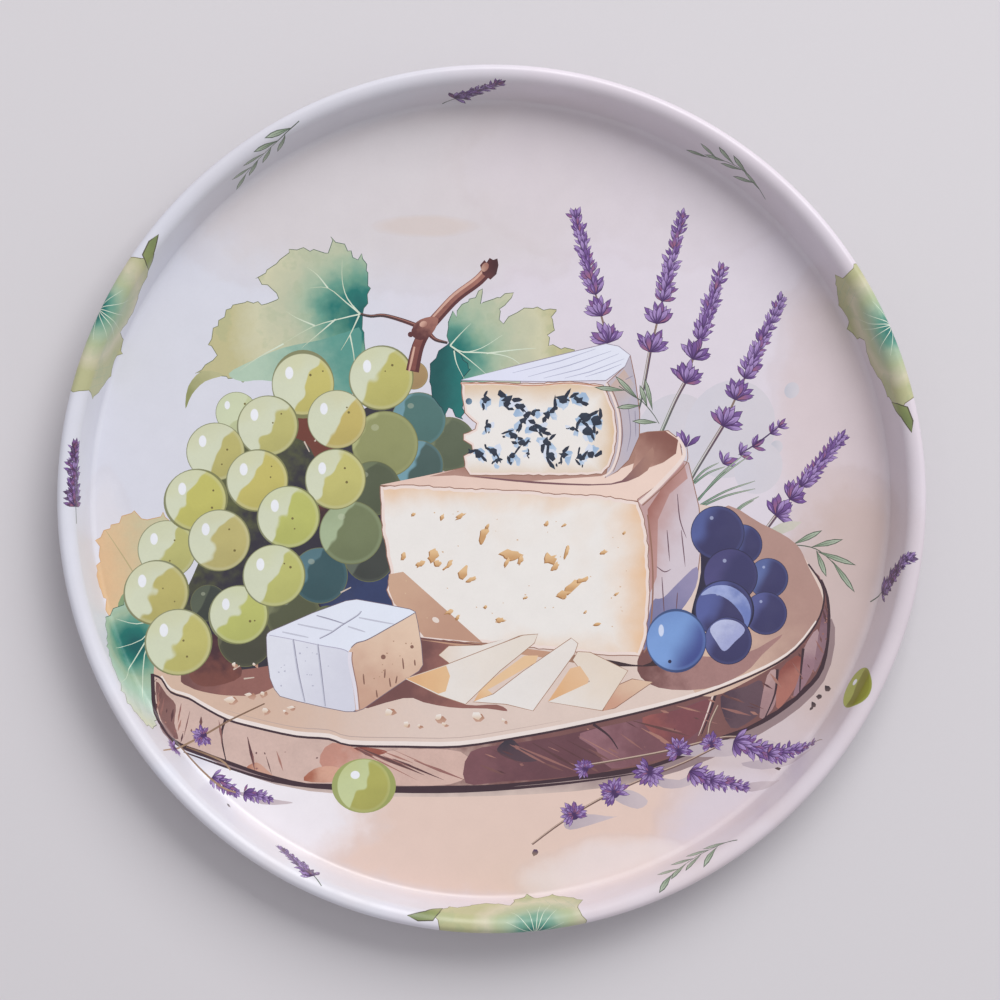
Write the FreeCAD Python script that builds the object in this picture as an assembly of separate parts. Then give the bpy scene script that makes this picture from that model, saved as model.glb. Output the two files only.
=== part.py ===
"""A round serving tray pressed from one sheet of tinplate, with its edge curled round a steel wire.

Frame: millimetres, +Z up, origin at the centre of the underside, where the tray rests.
Each piece is a cross-section in the XZ plane, turned about Z.
"""

import FreeCAD, Part
import math
import os

from FreeCAD import Vector

# Driving dimensions, in millimetres and degrees.
TRAY_DIAMETER = 330.0
TRAY_HEIGHT = 20.0
SHEET_THICKNESS = 0.35
WALL_LEAN = 16.0            # how far the wall leans out from upright
FLOOR_FILLET = 2.5          # inside radius between the floor and the wall
SHOULDER_RADIUS = 5.0       # outer face of the bend from the wall to the lip
BEAD_RADIUS = 2.2           # outer face of the curled edge
CURL_TURN = 300.0           # how far the sheet curls, from the top of the bead
WIRE_CLEARANCE = 0.05       # between the wire and the inside of the curl
WIRE_GAP = 1.0              # between the two cut ends of the wire

# Places in the cross-section, as (radius, height).
FLOOR_TOP = SHEET_THICKNESS
BEAD_CENTRE = (TRAY_DIAMETER / 2 - BEAD_RADIUS, TRAY_HEIGHT - BEAD_RADIUS)
SHOULDER_CENTRE = (BEAD_CENTRE[0], TRAY_HEIGHT - SHOULDER_RADIUS)
LEAN = math.radians(WALL_LEAN)
WALL_NORMAL = (-math.cos(LEAN), math.sin(LEAN))    # out of the face that shows from above


def along_normal(point, distance):
    """A section point moved by distance along the wall's normal."""
    return (point[0] + distance * WALL_NORMAL[0], point[1] + distance * WALL_NORMAL[1])


def fillet_centre():
    """Centre of the floor's fillet, so that the wall meets fillet and shoulder as a tangent."""
    wall_top = along_normal(SHOULDER_CENTRE, SHOULDER_RADIUS)
    height = FLOOR_TOP + FLOOR_FILLET
    wall_foot_height = height - FLOOR_FILLET * WALL_NORMAL[1]
    wall_foot_radius = wall_top[0] - (wall_top[1] - wall_foot_height) * math.tan(LEAN)
    return (wall_foot_radius + FLOOR_FILLET * WALL_NORMAL[0], height)


def section(point):
    """A section point as a vector in the XZ plane."""
    return Vector(point[0], 0, point[1])


def on_circle(centre, radius, degrees):
    """A section point on a circle, at an angle up from the outward direction."""
    turn = math.radians(degrees)
    return (centre[0] + radius * math.cos(turn), centre[1] + radius * math.sin(turn))


def line(start, end):
    return Part.LineSegment(section(start), section(end)).toShape()


def arc(centre, radius, start, end):
    """An arc edge between two angles, in degrees."""
    points = [section(on_circle(centre, radius, a)) for a in (start, (start + end) / 2, end)]
    return Part.Arc(*points).toShape()


def skin(depth):
    """The section of one face of the sheet, from the tray's centre to the curl's cut edge.

    depth is 0 for the face that shows from above, and the sheet's thickness for the back.
    """
    foot = fillet_centre()
    fillet = FLOOR_FILLET + depth
    shoulder = SHOULDER_RADIUS - depth
    bead = BEAD_RADIUS - depth
    wall_angle = 180 - WALL_LEAN
    floor_edge = (foot[0], foot[1] - fillet)
    return [
        line((0, floor_edge[1]), floor_edge),
        arc(foot, fillet, -90, wall_angle - 180),
        line(along_normal(foot, -fillet), along_normal(SHOULDER_CENTRE, shoulder)),
        arc(SHOULDER_CENTRE, shoulder, wall_angle, 90),
        arc(BEAD_CENTRE, bead, 90, 90 - CURL_TURN),
    ]


def tray_pan():
    """The pressed sheet: floor, leaning wall, rounded lip and curled bead in one piece."""
    face, back = skin(0), skin(SHEET_THICKNESS)
    cut_edge_angle = 90 - CURL_TURN
    cut_edge = line(
        on_circle(BEAD_CENTRE, BEAD_RADIUS, cut_edge_angle),
        on_circle(BEAD_CENTRE, BEAD_RADIUS - SHEET_THICKNESS, cut_edge_angle),
    )
    middle = line((0, 0), (0, FLOOR_TOP))
    outline = Part.Wire(Part.__sortEdges__([*face, cut_edge, *back, middle]))
    return Part.Face(outline).revolve(Vector(0, 0, 0), Vector(0, 0, 1), 360)


def rim_wire():
    """The round wire that the edge is curled over, bent to a ring with a gap at its ends."""
    radius = BEAD_RADIUS - SHEET_THICKNESS - WIRE_CLEARANCE
    circle = Part.Circle(section(BEAD_CENTRE), Vector(0, 1, 0), radius).toShape()
    turn = 360 - math.degrees(WIRE_GAP / BEAD_CENTRE[0])
    return Part.Face(Part.Wire(circle)).revolve(Vector(0, 0, 0), Vector(0, 0, 1), turn)


PIECES = {"tray_pan": tray_pan, "rim_wire": rim_wire}

os.makedirs("parts", exist_ok=True)
for name, make in PIECES.items():
    solid = make()
    solid.exportStep(f"parts/{name}.step")
    box = solid.BoundBox
    print(
        f"{name}: valid {solid.isValid()}, solids {len(solid.Solids)}, "
        f"volume {solid.Volume / 1000:.2f} cm3, "
        f"size {box.XLength:.2f} x {box.YLength:.2f} x {box.ZLength:.2f} mm"
    )
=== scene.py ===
import math
import random

import bmesh
import bpy
import numpy as np
from mathutils import Matrix, Vector
from mathutils.geometry import delaunay_2d_cdt


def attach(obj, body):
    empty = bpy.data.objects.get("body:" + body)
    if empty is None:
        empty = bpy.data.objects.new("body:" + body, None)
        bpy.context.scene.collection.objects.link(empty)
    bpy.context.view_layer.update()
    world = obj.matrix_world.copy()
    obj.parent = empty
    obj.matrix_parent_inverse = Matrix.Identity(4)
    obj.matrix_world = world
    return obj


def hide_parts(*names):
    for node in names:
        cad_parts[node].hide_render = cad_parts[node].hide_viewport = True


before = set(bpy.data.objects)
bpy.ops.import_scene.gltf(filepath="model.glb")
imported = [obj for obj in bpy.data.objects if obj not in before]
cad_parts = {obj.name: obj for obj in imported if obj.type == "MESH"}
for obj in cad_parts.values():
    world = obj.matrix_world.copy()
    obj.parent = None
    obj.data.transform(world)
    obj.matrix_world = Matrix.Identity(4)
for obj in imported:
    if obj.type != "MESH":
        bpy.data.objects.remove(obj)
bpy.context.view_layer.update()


# ---- The studio ----------------------------------------------
# The tray lies face up on a pale table, and the camera hangs almost straight above its centre.
# One large soft box past the far edge lights it, and the pale room fills the shadows.
MM = 0.001
CAMERA_PLACE = Vector((-0.046, -0.040, 1.483))
CAMERA_TARGET = Vector((0.0026, -0.0009, 0.018))
CAMERA_LENS = 139.0
SENSOR = 36.0

camera_data = bpy.data.cameras.new("camera")
camera_data.lens = CAMERA_LENS
camera_data.sensor_width = SENSOR
camera = bpy.data.objects.new("camera", camera_data)
camera_back = (CAMERA_PLACE - CAMERA_TARGET).normalized()
camera_right = Vector((0, 1, 0)).cross(camera_back).normalized()
camera_up = camera_back.cross(camera_right)
camera_turn = Matrix((camera_right, camera_up, camera_back)).transposed().to_4x4()
camera.matrix_world = Matrix.Translation(CAMERA_PLACE) @ camera_turn
bpy.context.scene.collection.objects.link(camera)
bpy.context.scene.camera = camera
bpy.context.scene.view_settings.view_transform = "Standard"


def mix(red, green, blue):
    """A colour given with each part from 0 to 255, as the linear colour that a finish takes."""
    def linear(part):
        share = part / 255
        return share / 12.92 if share <= 0.04045 else ((share + 0.055) / 1.055) ** 2.4
    return (linear(red), linear(green), linear(blue), 1.0)


def soft_box(name, bearing, height, distance, width, tall, power):
    """An area light facing the tray, from a bearing in degrees round from +X and a height above the table."""
    light = bpy.data.lights.new(name, "AREA")
    light.shape = "RECTANGLE"
    light.size = width
    light.size_y = tall
    light.energy = power
    lamp = bpy.data.objects.new(name, light)
    turn, climb = math.radians(bearing), math.radians(height)
    out = math.cos(climb)
    direction = Vector((math.cos(turn) * out, math.sin(turn) * out, math.sin(climb)))
    lamp.location = direction * distance
    lamp.rotation_euler = (-direction).to_track_quat("-Z", "Y").to_euler()
    bpy.context.scene.collection.objects.link(lamp)
    return lamp


soft_box("key_light", bearing=62, height=42, distance=3.6, width=2.8, tall=2.4, power=105.0)

ROOM_COLOUR = mix(252, 250, 255)
ROOM_STRENGTH = 0.5
room = bpy.data.worlds.new("room")
room.use_nodes = True
room.node_tree.nodes["Background"].inputs["Color"].default_value = ROOM_COLOUR
room.node_tree.nodes["Background"].inputs["Strength"].default_value = ROOM_STRENGTH
bpy.context.scene.world = room


# ---- The pan -------------------------------------------------
# A disc of tinplate 0.35 mm thick, pressed into a floor, a leaning wall and a rolled lip. It is
# coated white on both sides before it is printed and pressed, and its edge is curled round a wire.
SHEET = 0.35
FLOOR_FILLET = 2.5
FILLET_CENTRE = (151.514, 2.85)
WALL_LEAN = 16.0
SHOULDER = 5.0
SHOULDER_CENTRE = (162.8, 15.0)
BEAD = 2.2
BEAD_CENTRE = (162.8, 17.8)
CURL_END = -210.0            # where the curl stops inside, in degrees about the bead's centre
ROUND_STEPS = 320


class Bend:
    """A stretch of the sheet that turns about a centre, from one angle to another in degrees."""

    def __init__(self, centre, radius, start, end, steps, hollow):
        self.centre, self.radius, self.start, self.end = centre, radius, start, end
        self.steps, self.hollow = steps, hollow
        self.length = radius * abs(math.radians(end - start))

    def at(self, share, lift):
        """The place and the facing of a point that share of the way along, lifted off the sheet."""
        angle = math.radians(self.start + (self.end - self.start) * share)
        across, up = math.cos(angle), math.sin(angle)
        radius = self.radius - lift if self.hollow else self.radius + lift
        facing = -1.0 if self.hollow else 1.0
        place = (self.centre[0] + radius * across, self.centre[1] + radius * up)
        return place + (facing * across, facing * up)


class Flat:
    """A straight stretch of the sheet's section, with the way it faces."""

    def __init__(self, start, end, steps):
        self.start, self.end, self.steps = start, end, steps
        run, rise = end[0] - start[0], end[1] - start[1]
        self.length = math.hypot(run, rise)
        self.facing = (-rise / self.length, run / self.length)

    def at(self, share, lift):
        """The place and the facing of a point that share of the way along, lifted off the sheet."""
        across = self.start[0] + (self.end[0] - self.start[0]) * share + self.facing[0] * lift
        up = self.start[1] + (self.end[1] - self.start[1]) * share + self.facing[1] * lift
        return (across, up, self.facing[0], self.facing[1])


fillet = Bend(FILLET_CENTRE, FLOOR_FILLET, -90.0, -WALL_LEAN, 8, hollow=True)
shoulder = Bend(SHOULDER_CENTRE, SHOULDER, 180.0 - WALL_LEAN, 90.0, 10, hollow=False)
bead = Bend(BEAD_CENTRE, BEAD, 90.0, CURL_END, 30, hollow=False)
wall = Flat(fillet.at(1, 0)[:2], shoulder.at(0, 0)[:2], 4)
floor = Flat((0.0, SHEET), (FILLET_CENTRE[0], SHEET), 6)
SECTION = [floor, fillet, wall, shoulder, bead]


def sheet_at(way, lift):
    """Where a point of the flat blank, that far from its middle, ends up in the pressed section."""
    left = way
    for stretch in SECTION:
        if left <= stretch.length or stretch is SECTION[-1]:
            return stretch.at(min(left / stretch.length, 1.0), lift)
        left -= stretch.length


def stations():
    """The distances from the blank's middle at which its section is drawn."""
    ways, done = [], 0.0
    for stretch in SECTION:
        ways += [done + stretch.length * step / stretch.steps for step in range(1, stretch.steps + 1)]
        done += stretch.length
    return ways


class Amount:
    """One socket of a finish, wrapped so that sums on it are written as sums."""

    def __init__(self, finish, socket):
        self.finish, self.socket = finish, socket

    def sum(self, operation, *parts):
        return self.finish.node("ShaderNodeMath", {"operation": operation}, dict(enumerate(parts)))

    def __add__(self, other):
        return self.sum("ADD", self, other)

    def __radd__(self, other):
        return self.sum("ADD", other, self)

    def __sub__(self, other):
        return self.sum("SUBTRACT", self, other)

    def __rsub__(self, other):
        return self.sum("SUBTRACT", other, self)

    def __mul__(self, other):
        return self.sum("MULTIPLY", self, other)

    def __rmul__(self, other):
        return self.sum("MULTIPLY", other, self)

    def __truediv__(self, other):
        return self.sum("DIVIDE", self, other)

    def __pow__(self, other):
        return self.sum("POWER", self, other)

    def most(self, other):
        return self.sum("MAXIMUM", self, other)

    def rise(self, low, high):
        """0 below low, 1 above high, and a smooth rise between them. It falls where low is above high."""
        settings = {"interpolation_type": "SMOOTHSTEP", "clamp": True}
        if low < high:
            return self.finish.node("ShaderNodeMapRange", settings, {0: self, 1: low, 2: high})
        return 1.0 - self.finish.node("ShaderNodeMapRange", settings, {0: self, 1: high, 2: low})


MIX_COLOURS = (6, 7)         # the two colour sockets of a Mix node
MIX_RESULT = 2               # and its colour output


class Finish:
    """A coat being mixed: a material, its nodes, and the maths between them."""

    def __init__(self, name, **coat):
        self.material = bpy.data.materials.new(name)
        self.material.use_nodes = True
        self.tree = self.material.node_tree
        self.shader = self.tree.nodes["Principled BSDF"]
        for socket, value in coat.items():
            self.shader.inputs[socket.replace("_", " ")].default_value = value
        self.place = self.node("ShaderNodeTexCoord", {}, {}, "Object")

    def node(self, kind, settings, values, output=0):
        """Adds a node of that kind: its settings first, then the values or links of its sockets."""
        made = self.tree.nodes.new(kind)
        for name, value in settings.items():
            if name == "stops":
                while len(made.color_ramp.elements) < len(value):
                    made.color_ramp.elements.new(1.0)
                for element, (position, colour) in zip(made.color_ramp.elements, value):
                    element.position, element.color = position, colour
            else:
                setattr(made, name, value)
        for name, value in values.items():
            if isinstance(value, Amount):
                self.tree.links.new(value.socket, made.inputs[name])
            else:
                made.inputs[name].default_value = value
        return Amount(self, made.outputs[output])

    def noise(self, grain, detail=2.0, roughness=0.5):
        """Cloudy noise with clouds about that many millimetres across."""
        values = {"Vector": self.place, "Scale": 1 / (grain * MM), "Detail": detail, "Roughness": roughness}
        return self.node("ShaderNodeTexNoise", {}, values)

    def blend(self, share, first, second):
        """The first colour where the share is 0, and the second one where it is 1."""
        values = {0: share, MIX_COLOURS[0]: first, MIX_COLOURS[1]: second}
        return self.node("ShaderNodeMix", {"data_type": "RGBA"}, values, MIX_RESULT)

    def scaled(self, colour, amount):
        """A colour made lighter or darker by an amount."""
        return self.node("ShaderNodeVectorMath", {"operation": "SCALE"}, {0: colour, "Scale": amount})

    def coat(self, socket, value):
        """Feeds a value to a socket of the finished surface."""
        self.tree.links.new(value.socket, self.shader.inputs[socket])

    def relief(self, height, depth):
        """A bump that deep, in metres, where height goes from 0 to 1."""
        bump = self.node("ShaderNodeBump", {}, {"Strength": 1.0, "Distance": depth, "Height": height})
        self.coat("Normal", bump)


# White stoving enamel: it levels out to a faint orange peel, and handling leaves it a little
# uneven in gloss.
ENAMEL_WHITE = mix(226, 224, 228)
ENAMEL_WARM = mix(221, 219, 221)
ENAMEL_CLOUD = 34.0          # how far across the warmer clouds in it are, in mm
ENAMEL_SMUDGE = 9.0
ENAMEL_ROUGHNESS = 0.27
SMUDGE = 0.12                # how much duller a handled patch is
ENAMEL_PEEL = 1.6
PEEL_DEPTH = 0.000004
enamel = Finish("white_enamel", Roughness=0.3, Coat_Weight=0.25, Coat_Roughness=0.12)
enamel_cloud = enamel.noise(ENAMEL_CLOUD, detail=3.0)
enamel_smudge = enamel.noise(ENAMEL_SMUDGE, detail=4.0, roughness=0.6)
enamel.coat("Base Color", enamel.blend(enamel_cloud.rise(0.3, 0.75), ENAMEL_WHITE, ENAMEL_WARM))
enamel.coat("Roughness", ENAMEL_ROUGHNESS + SMUDGE * enamel_smudge.rise(0.4, 0.7))
enamel.relief(enamel.noise(ENAMEL_PEEL, detail=1.0), PEEL_DEPTH)

pan_form = bmesh.new()
front = [(0.0, SHEET)] + [sheet_at(way, 0.0)[:2] for way in stations()]
back = [(0.0, 0.0)] + [sheet_at(way, -SHEET)[:2] for way in stations()]
rim = [pan_form.verts.new((across * MM, 0, up * MM)) for across, up in front + back[::-1]]
section = [pan_form.edges.new(pair) for pair in zip(rim, rim[1:])]
bmesh.ops.spin(pan_form, geom=rim + section, axis=(0, 0, 1), cent=(0, 0, 0), angle=math.tau,
               steps=ROUND_STEPS, use_merge=True)
MERGE = 1e-7
bmesh.ops.remove_doubles(pan_form, verts=pan_form.verts, dist=MERGE)
bmesh.ops.recalc_face_normals(pan_form, faces=pan_form.faces)
for face in pan_form.faces:
    face.smooth = True
pan_mesh = bpy.data.meshes.new("pan")
pan_form.to_mesh(pan_mesh)
pan_form.free()
pan_mesh.materials.append(enamel.material)
pan = bpy.data.objects.new("pan", pan_mesh)
bpy.context.scene.collection.objects.link(pan)
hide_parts("tray_pan")
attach(pan, "root")


# ---- The rim wire --------------------------------------------
# A ring of drawn steel wire 3.6 mm thick that stiffens the edge. It lies loose in the curl of
# the rim, with its cut ends a millimetre apart, and shows only through the slit of the curl.
WIRE_GREY = mix(150, 150, 152)
WIRE_DARK = mix(104, 102, 102)
WIRE_ROUGHNESS = 0.28
WIRE_STREAK = 0.6            # how far apart the streaks of drawing are, in mm
wire_steel = Finish("drawn_steel", Metallic=1.0, Roughness=0.35)
drawn_lines = wire_steel.noise(WIRE_STREAK, detail=3.0)
wire_steel.coat("Base Color", wire_steel.blend(drawn_lines.rise(0.4, 0.7), WIRE_GREY, WIRE_DARK))
wire_steel.coat("Roughness", WIRE_ROUGHNESS + 0.2 * drawn_lines)
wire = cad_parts["rim_wire"]
wire.data.materials.clear()
wire.data.materials.append(wire_steel.material)


# ---- The paper-white ground ----------------------------------
# The picture is printed over the whole blank before pressing: first a pale lilac wash, warmer
# on the table in the picture, that runs up the wall, over the lip and round the curled edge.
PRINT_LIFT = 0.05            # the ink stands this far off the enamel, so the two never share a plane
INK_ROUGHNESS = 0.34
INK_SMUDGE = 11.0            # how far across a smudge of the varnish is, in mm


def ink(name):
    """A finish for printed ink under a satin varnish, with the varnish's faint peel and smudges."""
    mixed = Finish(name, Roughness=0.36, Coat_Weight=0.15, Coat_Roughness=0.2)
    smudge = mixed.noise(INK_SMUDGE, detail=4.0, roughness=0.6).rise(0.4, 0.7)
    mixed.coat("Roughness", INK_ROUGHNESS + SMUDGE * smudge)
    mixed.relief(mixed.noise(ENAMEL_PEEL, detail=1.0), PEEL_DEPTH)
    return mixed


SPECKLE, SOFT_POOL = 0.9, 9.0    # how far across the grains and the pools of a wash are, in mm
POOL_STRENGTH = 1.2              # how much stronger than the grains the pools are


def granulated(mixed, colour, strength=0.1):
    """The colour with the fine speckle and the soft pools of watercolour."""
    speckle = mixed.noise(SPECKLE, detail=3.0, roughness=0.7)
    pool = mixed.noise(SOFT_POOL, detail=3.0)
    return mixed.scaled(colour, 1.0 + strength * (speckle - 0.5) + strength * POOL_STRENGTH * (pool - 0.5))


def three(mixed, vector):
    """The three numbers of a vector."""
    return [mixed.node("ShaderNodeSeparateXYZ", {}, {"Vector": vector}, axis) for axis in ("X", "Y", "Z")]


TO_MM = 1000.0               # the finishes' places are in metres
LILAC_WHITE = mix(222, 214, 223)
BLUE_WHITE = mix(218, 219, 229)
ground = ink("ground_wash")
east, north, _ = three(ground, ground.place)
wash_wander = (ground.noise(30.0, detail=5.0, roughness=0.6) - 0.5) * 2.6
BLUE_TO_LILAC = (-60.0, 30.0)    # the wash turns from bluish to lilac from here to here, in mm east
WASH_DRIFT = 40.0
lilac_share = (east * TO_MM + wash_wander * WASH_DRIFT).rise(*BLUE_TO_LILAC)
ground_colour = ground.blend(lilac_share, BLUE_WHITE, LILAC_WHITE)

# each pool of wash: its middle and its reach in mm, its colour and how strong it is
POOLS = [((-40, 125), (95, 45), mix(214, 206, 206), 0.75), ((-26, 105), (20, 4), mix(212, 192, 178), 0.4),
         ((60, 128), (70, 36), mix(217, 208, 214), 0.6), ((138, 30), (30, 60), mix(216, 200, 202), 0.8),
         ((140, -43), (34, 50), mix(204, 183, 177), 0.9), ((112, -100), (50, 24), mix(206, 188, 186), 0.7),
         ((5, -126), (100, 34), mix(229, 202, 188), 0.95), ((96, -128), (32, 26), mix(218, 208, 217), 0.9),
         ((52, -146), (38, 16), mix(234, 222, 220), 0.85),
         ((-92, -122), (44, 22), mix(242, 238, 243), 0.95),
         ((-132, -86), (22, 16), mix(228, 208, 198), 0.6), ((-148, -30), (12, 40), mix(226, 222, 226), 0.6)]
WASH_EDGE = (0.157, 0.149)       # the pools of wash fade out where the floor turns up into the wall
POOL_EDGE = (1.4, 0.4)
POOL_ON_WALL = 0.15              # the share of a pool's strength that is left up the wall
POOL_RIM = 0.07                  # how strong the tide line round a pool is
on_floor = ((east * east + north * north) ** 0.5).rise(*WASH_EDGE)
for middle, reach, colour, strength in POOLS:
    off_east = (east * TO_MM - middle[0]) / reach[0]
    off_north = (north * TO_MM - middle[1]) / reach[1]
    spread = off_east * off_east + off_north * off_north + wash_wander * 0.6
    pool = spread.rise(*POOL_EDGE) * (on_floor * (1.0 - POOL_ON_WALL) + POOL_ON_WALL)
    ground_colour = ground.blend(pool * strength, ground_colour, colour)
    rim_of_pool = pool.rise(0.02, 0.2) * pool.rise(0.5, 0.2)
    ground_colour = ground.blend(rim_of_pool * strength * POOL_RIM, ground_colour, mix(170, 140, 130))
ground.coat("Base Color", granulated(ground, ground_colour, 0.05))

picture = []                 # every printed shape, in the order in which they lie over each other


def sides(points):
    """Each side of a closed outline, as its two ends."""
    return zip(points, points[1:] + points[:1])


def area(outline):
    """Twice the outline's area, above 0 where it runs round to the left."""
    return sum(a[0] * b[1] - b[0] * a[1] for a, b in sides(outline))


class Brush:
    """An ink in hand for one sheet of the print."""

    def __init__(self, sheet, finish):
        self.sheet, self.finish = sheet, finish


class Shape:
    """One printed shape: its sheet, ink and outline in mm on the flat blank, and its two colours.
    Its place runs from start, where it has the near colour, to end, where it has the far one."""

    def __init__(self, brush, outline, near, far, start, end, tone):
        self.outline = outline if area(outline) > 0 else outline[::-1]
        self.sheet, self.finish = brush.sheet, brush.finish
        self.near, self.far, self.tone, self.start = near, far, tone, start
        reach = (end[0] - start[0], end[1] - start[1])
        span = reach[0] ** 2 + reach[1] ** 2
        self.along = (reach[0] / span, reach[1] / span)

    def place(self, east, north):
        """A point's place on the shape: 0 at start and 1 at end, and how far to the left of that line."""
        east, north = east - self.start[0], north - self.start[1]
        return (east * self.along[0] + north * self.along[1], north * self.along[0] - east * self.along[1],
                self.tone)


def draw(brush, outline, near, far=None, start=(0.0, 0.0), end=(1.0, 0.0), tone=0.5):
    """Puts a shape on the picture, over what is there. Without a far colour it is plain."""
    picture.append(Shape(brush, outline, near, far or near, start, end, tone))


def shifted(points, east_by, north_by=0.0):
    """The same points, moved over by that many millimetres."""
    return [(east + east_by, north + north_by) for east, north in points]


def turned(middle, along, aside, lean):
    """The point that far along and aside of the middle, in a frame that leans by that angle."""
    return (middle[0] + along * math.cos(lean) - aside * math.sin(lean),
            middle[1] + along * math.sin(lean) + aside * math.cos(lean))


def ring(middle, radius, steps, stretch=1.0, turn=0.0):
    """A circle, or an ellipse that is stretch times as long in the direction of turn, in degrees."""
    lean = math.radians(turn)
    points = []
    for step in range(steps):
        angle = math.tau * step / steps
        points.append(turned(middle, radius * stretch * math.cos(angle), radius * math.sin(angle), lean))
    return points


# The ground is a ring at each turn of the section, so that the ink bends only where the sheet does.
ground_brush = Brush("print_ground", ground)
for way in reversed(stations()):
    draw(ground_brush, ring((0.0, 0.0), way, ROUND_STEPS), LILAC_WHITE)


# ---- The sprigs round the rim --------------------------------
# Small sprigs of lavender and sage, three scraps of vine leaf and one grape are printed round the
# blank's edge. Pressing draws them up the wall and over the lip, so they look squeezed there.
BLOT_PLUM = mix(58, 36, 62)
LAVENDER_DARK = mix(70, 42, 92)
LAVENDER_DEEP = mix(92, 62, 122)
LAVENDER_MID = mix(122, 86, 154)
LAVENDER_PALE = mix(174, 146, 202)
CALYX_PINK = mix(156, 98, 118)
STEM_BROWN = mix(140, 118, 104)
SAGE_PALE = mix(176, 188, 168)
SAGE_GREEN = mix(128, 148, 122)
SAGE_DARK = mix(78, 92, 76)
LEAF_LINE = mix(112, 118, 84)
VEIN_PALE = mix(214, 226, 206)


def attribute(mixed, name):
    """What each corner of the print carries under that name."""
    return mixed.node("ShaderNodeAttribute", {"attribute_name": name}, {}, "Vector")


def brushed(name, bleed=0.35, mottle=0.09, grain=4.0, blots=0.0):
    """Ink that goes from a shape's near colour to its far one, with a wandering edge between them, and
    that strong a share of dark blots."""
    mixed = ink(name)
    along = three(mixed, attribute(mixed, "place"))[0]
    wander = (mixed.noise(grain, detail=3.0) - 0.5) * bleed
    colour = mixed.blend((along + wander).rise(0.0, 1.0), attribute(mixed, "pigment"),
                         attribute(mixed, "far_pigment"))
    if blots > 0.0:
        colour = mixed.blend(mixed.noise(1.6, detail=2.0).rise(0.44, 0.58) * blots, colour, BLOT_PLUM)
    mixed.coat("Base Color", granulated(mixed, colour, mottle))
    return mixed


OLIVE_EDGE = (mix(180, 190, 152), mix(205, 200, 172), mix(186, 186, 142))
WARM_EDGE = (mix(193, 197, 169), mix(208, 206, 174), mix(194, 188, 142))
COOL_EDGE = (mix(176, 204, 186), mix(208, 220, 210), mix(214, 220, 196))


def leafy(name, edge):
    """Ink of a vine leaf: deep teal where the stalk joins it, then green, then the colours of its edge."""
    mixed = ink(name)
    along, aside, tone = three(mixed, attribute(mixed, "place"))
    wander = (mixed.noise(18.0, detail=3.0) - 0.5) * 0.45
    wander = wander + (mixed.noise(3.0) - 0.5) * 0.08
    out = (along * along + aside * aside) ** 0.5 + wander + (tone - 0.5) * 0.4
    stops = [(0.0, mix(8, 92, 92)), (0.14, mix(22, 116, 108)), (0.27, mix(100, 156, 138)),
             (0.42, mix(164, 187, 161)), (0.6, edge[0]), (0.8, edge[1]), (1.0, edge[2])]
    colour = mixed.node("ShaderNodeValToRGB", {"stops": stops}, {"Fac": out}, "Color")
    colour = mixed.blend(mixed.noise(9.0, detail=4.0).rise(0.52, 0.6) * 0.16, colour, mix(120, 156, 120))
    mixed.coat("Base Color", granulated(mixed, colour, 0.1))
    return mixed


def curve(points, steps=4, closed=False):
    """A smooth line through the points, with that many steps from each to the next."""
    count = len(points)
    line = []
    for index in range(count if closed else count - 1):
        a, b, c, d = (points[(index + shift) % count] if closed
                      else points[min(max(index + shift, 0), count - 1)] for shift in (-1, 0, 1, 2))
        for step in range(steps):
            t = step / steps
            line.append(tuple(0.5 * (2 * b[k] + (c[k] - a[k]) * t
                                     + (2 * a[k] - 5 * b[k] + 4 * c[k] - d[k]) * t ** 2
                                     + (3 * b[k] - a[k] - 3 * c[k] + d[k]) * t ** 3) for k in (0, 1)))
    return line if closed else line + [points[-1]]


def loop(points, steps=3):
    """A smooth closed line through the points."""
    return curve(points, steps, True)


def stroke(brush, path, width, colour, ends=(0.3, 0.3), far=None):
    """A brush line along a path, width mm wide in its middle and that share of it at each end."""
    left, right = [], []
    for index, (east, north) in enumerate(path):
        back, ahead = path[max(index - 1, 0)], path[min(index + 1, len(path) - 1)]
        run = Vector((ahead[0] - back[0], ahead[1] - back[1])).normalized()
        share = index / (len(path) - 1)
        swell = 1 - max(ends)
        half = width / 2 * (ends[0] * (1 - share) + ends[1] * share + swell * math.sin(math.pi * share))
        left.append((east - run.y * half, north + run.x * half))
        right.append((east + run.y * half, north - run.x * half))
    draw(brush, right + left[::-1], colour, far, path[0], path[-1])


def petal(base, heading, length, width, steps=4):
    """A long oval with pointed ends, from its base, in the direction of heading in degrees."""
    lean = math.radians(heading)
    along, aside = (math.cos(lean), math.sin(lean)), (-math.sin(lean), math.cos(lean))
    sides = []
    for step in range(1, 2 * steps):
        share = step / steps if step <= steps else 2 - step / steps
        side = 1 if step < steps else -1
        bulge = 0 if step == steps else side * width / 2 * math.sin(math.pi * share ** 1.25)
        sides.append((base[0] + along[0] * length * share + aside[0] * bulge,
                      base[1] + along[1] * length * share + aside[1] * bulge))
    return [base] + sides


def ahead_of(base, heading, length):
    """The point that far from the base, in the direction of heading in degrees."""
    return (base[0] + length * math.cos(math.radians(heading)),
            base[1] + length * math.sin(math.radians(heading)))


FLORET_WIDTH = (0.27, 0.38)      # the narrowest and the widest, as a share of its length
PINK_ONES, DULL_ONES, PLAIN_ONES = 0.2, 0.5, 0.3      # what shares of the florets are so


def reach_of(base, tip):
    """How far the tip is from the base, and its heading from there in degrees."""
    run = (tip[0] - base[0], tip[1] - base[1])
    return math.hypot(*run), math.degrees(math.atan2(run[1], run[0]))


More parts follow.
